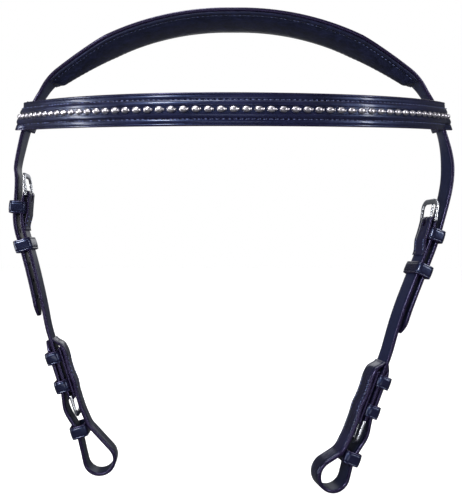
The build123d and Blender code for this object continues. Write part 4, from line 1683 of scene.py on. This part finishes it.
    def build_keepers(self) -> None:
        """The fixed upper keeper, the runner and lower keepers a, b and c."""
        name = self.hand.value
        low = -STOCK.thick / 2
        top = STOCK.billet_offset + STOCK.thick / 2
        self.keeper(f"{name}_fixed_keeper", f"{name}_upper_keeper", self.body, self.upper_keeper_at, low, top,
                    self.keeper_play)
        self.keeper(f"{name}_sliding_runner", f"{name}_runner", f"{name}_runner", self.runner_at, low, top,
                    self.runner_play)
        for letter, at in self.keepers:
            self.keeper(f"{name}_bit_keeper_{letter}", f"{name}_lower_keeper_{letter}", self.body,
                        self.length + at, low, STOCK.turn_up_offset + STOCK.thick / 2, self.keeper_play)
        reach = self.keeper_c - self.flare_ends - self.flare_from
        share = (self.keeper_c - STOCK.keeper_length / 2 - self.flare_from) / reach
        leg = STOCK.bit_strap_offset - self.flare * share + STOCK.thick / 2
        low = leg + STOCK.sewn_gap + STOCK.keeper + self.keeper_play
        high = self.pinch + STOCK.thick / 2 + self.pinch_sag
        self.keeper(f"{name}_bit_keeper_c", f"{name}_lower_keeper_c", self.body, self.length + self.keeper_c,
                    low, high, self.keeper_play)

    # -------------------------------------------------------------- buckles
    def build_buckle(self, level: Level) -> None:
        """A buckle's frame with its bar, and its tongue.

        Args:
            level: which of the two.
        """
        upper = level is Level.UPPER
        at = 0.0 if upper else self.length
        centre, up, out = self.station(at, STOCK.bar_offset, self.upper_tilt if upper else 0.0)
        along = up if upper else -up
        name = f"{self.hand.value}_{level.value}"
        buckle = Buckle(self.shop, centre, along.cross(out).normalized(), along, out)
        body = f"{name}_buckle_frame"
        place_piece(buckle.frame(body), body, "buckle_metal", f"{name}_buckle")
        body = f"{name}_buckle_tongue"
        place_piece(buckle.tongue(body), body, "buckle_metal", f"{name}_tongue")


@dataclass
class Buckle:
    """A cast single-prong buckle."""

    shop: Workshop
    centre: Vector                   # middle of the bar
    x: Vector                        # along the bar
    y: Vector                        # from the bar to the front
    z: Vector                        # to the outer face
    side_play: float = 0.7 * MM
    side: float = 2.4 * MM
    front: float = 4.0 * MM
    thick: float = 2.2 * MM
    length: float = 17.5 * MM
    bar_inset: float = 1.4 * MM
    corner: float = 5.2 * MM         # bend of the frame's mid line at its front corners
    rounding: float = 0.7 * MM       # of the sides' free ends
    tongue_radius: float = 0.85 * MM
    flat: float = 1.15 * MM          # half width of the tongue where it wraps the bar
    wire: float = 0.55 * MM          # and half its thickness there

    def at(self, x: float, y: float, z: float = 0.0) -> Vector:
        """A point of the buckle's own frame, in space."""
        return self.centre + self.x * x + self.y * y + self.z * z

    def frame(self, name: str) -> bpy.types.Object:
        """The open frame: two sides that run round into a wide front, and the bar between them.

        Args:
            name: the piece's name.

        Returns:
            The frame.
        """
        inside = STOCK.width / 2 + self.side_play
        half = inside + self.side / 2
        front = self.length - self.bar_inset - self.front / 2
        bend = self.corner
        path = [(half, y) for y in steps(-self.bar_inset + self.rounding, front - bend, 1.2 * MM)]
        path += [(half - bend + x, front - bend + y) for x, y in (polar(bend, t) for t in range(10, 91, 10))]
        path += [(x, front) for x in steps(half - bend - 1 * MM, 0, 1.2 * MM)]
        path += [(-x, y) for x, y in reversed(path[:-1])]
        stations = []
        for i, (x, y) in enumerate(path):
            before, after = path[max(0, i - 1)], path[min(len(path) - 1, i + 1)]
            tangent = Vector((after[0] - before[0], after[1] - before[1])).normalized()
            share = smooth_step((y - (front - 6.5 * MM)) / (6 * MM))
            wide = self.side + (self.front - self.side) * share
            normal = self.x * tangent.y - self.y * tangent.x
            stations.append((self.at(x, y), normal, self.z, wide / 2, self.thick / 2 * (1 - 0.06 * share)))
        ends = ((self.rounding, 0.6), (0.45 * MM, 0.88))
        opening = [self.shrunk(stations[0], far, share) for far, share in ends]
        closing = [self.shrunk(stations[-1], far, share) for far, share in reversed(ends)]
        bm = bmesh.new()
        tube(bm, opening + stations + closing, sides=20, square=2.7)
        for face in bm.faces:
            middle = face.calc_center_median() - self.centre
            cast = middle.dot(self.y) > front - 1.6 * MM and abs(middle.dot(self.x)) < half - 2.2 * MM
            face.material_index = 1 if cast else 0
        tube(bm, [(self.at(x, 0), self.y, self.z, STOCK.bar, STOCK.bar)
                  for x in (-inside - 0.8 * MM, inside + 0.8 * MM)])
        return new_object(name, bm, [self.shop.steel, self.shop.cast])

    def shrunk(self, station: BarStation, far: float, share: float) -> BarStation:
        """A smaller place past a bar's end, which rounds it off.

        Args:
            station: the end.
            far: how far behind it, away from the buckle's front.
            share: of its size.

        Returns:
            The place.
        """
        centre, first, second, a, b = station
        return centre - self.y * far, first, second, share * a, share * b

    def tongue(self, name: str) -> bpy.types.Object:
        """The prong: flattened where it wraps the bar, round and tapered to its tip.

        Args:
            name: the piece's name.

        Returns:
            The tongue.
        """
        eye = STOCK.bar + 0.12 * MM + self.wire
        rest = self.thick / 2 + self.tongue_radius + 0.1 * MM
        tip = self.length - self.bar_inset + 0.6 * MM
        path = [(y, z, self.flat, self.wire) for z, y in (polar(eye, t) for t in range(-290, 1, 14))]
        knee = tip - self.front
        for y in steps(1.6 * MM, tip, 1.1 * MM):
            share = smooth_step(y / knee)
            z = eye + (rest - eye) * share
            grow = smooth_step(y / (4 * MM))
            taper = 1 - 0.3 * smooth_step((y - knee) / (tip - knee))
            path.append((y, z, (self.flat + (self.tongue_radius - self.flat) * grow) * taper,
                         (self.wire + (self.tongue_radius - self.wire) * grow) * taper))
        stations = []
        for i, (y, z, a, b) in enumerate(path):
            before, after = path[max(0, i - 1)], path[min(len(path) - 1, i + 1)]
            tangent = (self.y * (after[0] - before[0]) + self.z * (after[1] - before[1])).normalized()
            stations.append((self.at(0, y, z), self.x, tangent.cross(self.x), a, b))
        stations.append(self.shrunk(stations[-1], -0.4 * MM, 0.6))
        bm = bmesh.new()
        tube(bm, stations, sides=14)
        return new_object(name, bm, [self.shop.steel])


# ------------------------------------------------------------------ the whole headstall
def main() -> None:
    """Build the headstall, sub-assembly by sub-assembly, and set up the studio."""
    logging.basicConfig(level=logging.INFO, format="%(name)s: %(message)s")
    cad_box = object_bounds()
    shop = Workshop.open()
    Studio().build(lowest=cad_box[0][2])
    line = CrownLine()
    CrownPiece(shop, line).build()
    Browband(shop, line).build()
    left_drape = ((0.117, -4.0), (0.162, 17.0), (0.216, 14.0), (0.252, 11.5), (0.126, 10.0), (0.127, 17.2))
    right_drape = ((0.234, 24.0), (0.306, 23.5), (0.216, 18.5), (0.126, 16.5), (0.118, 22.8))
    Cheekpiece(shop, line, Hand.LEFT, lean=-5.0, drape=left_drape, upper_tilt=-11.0, grip=0.75,
               billet_clear=20.5 * MM, loop_hang=9.4 * MM).build()
    Cheekpiece(shop, line, Hand.RIGHT, lean=15.0, drape=right_drape, upper_tilt=6.5, grip=0.4,
               billet_clear=25.5 * MM, loop_hang=0.05 * MM).build()


if __name__ == "__main__":
    main()
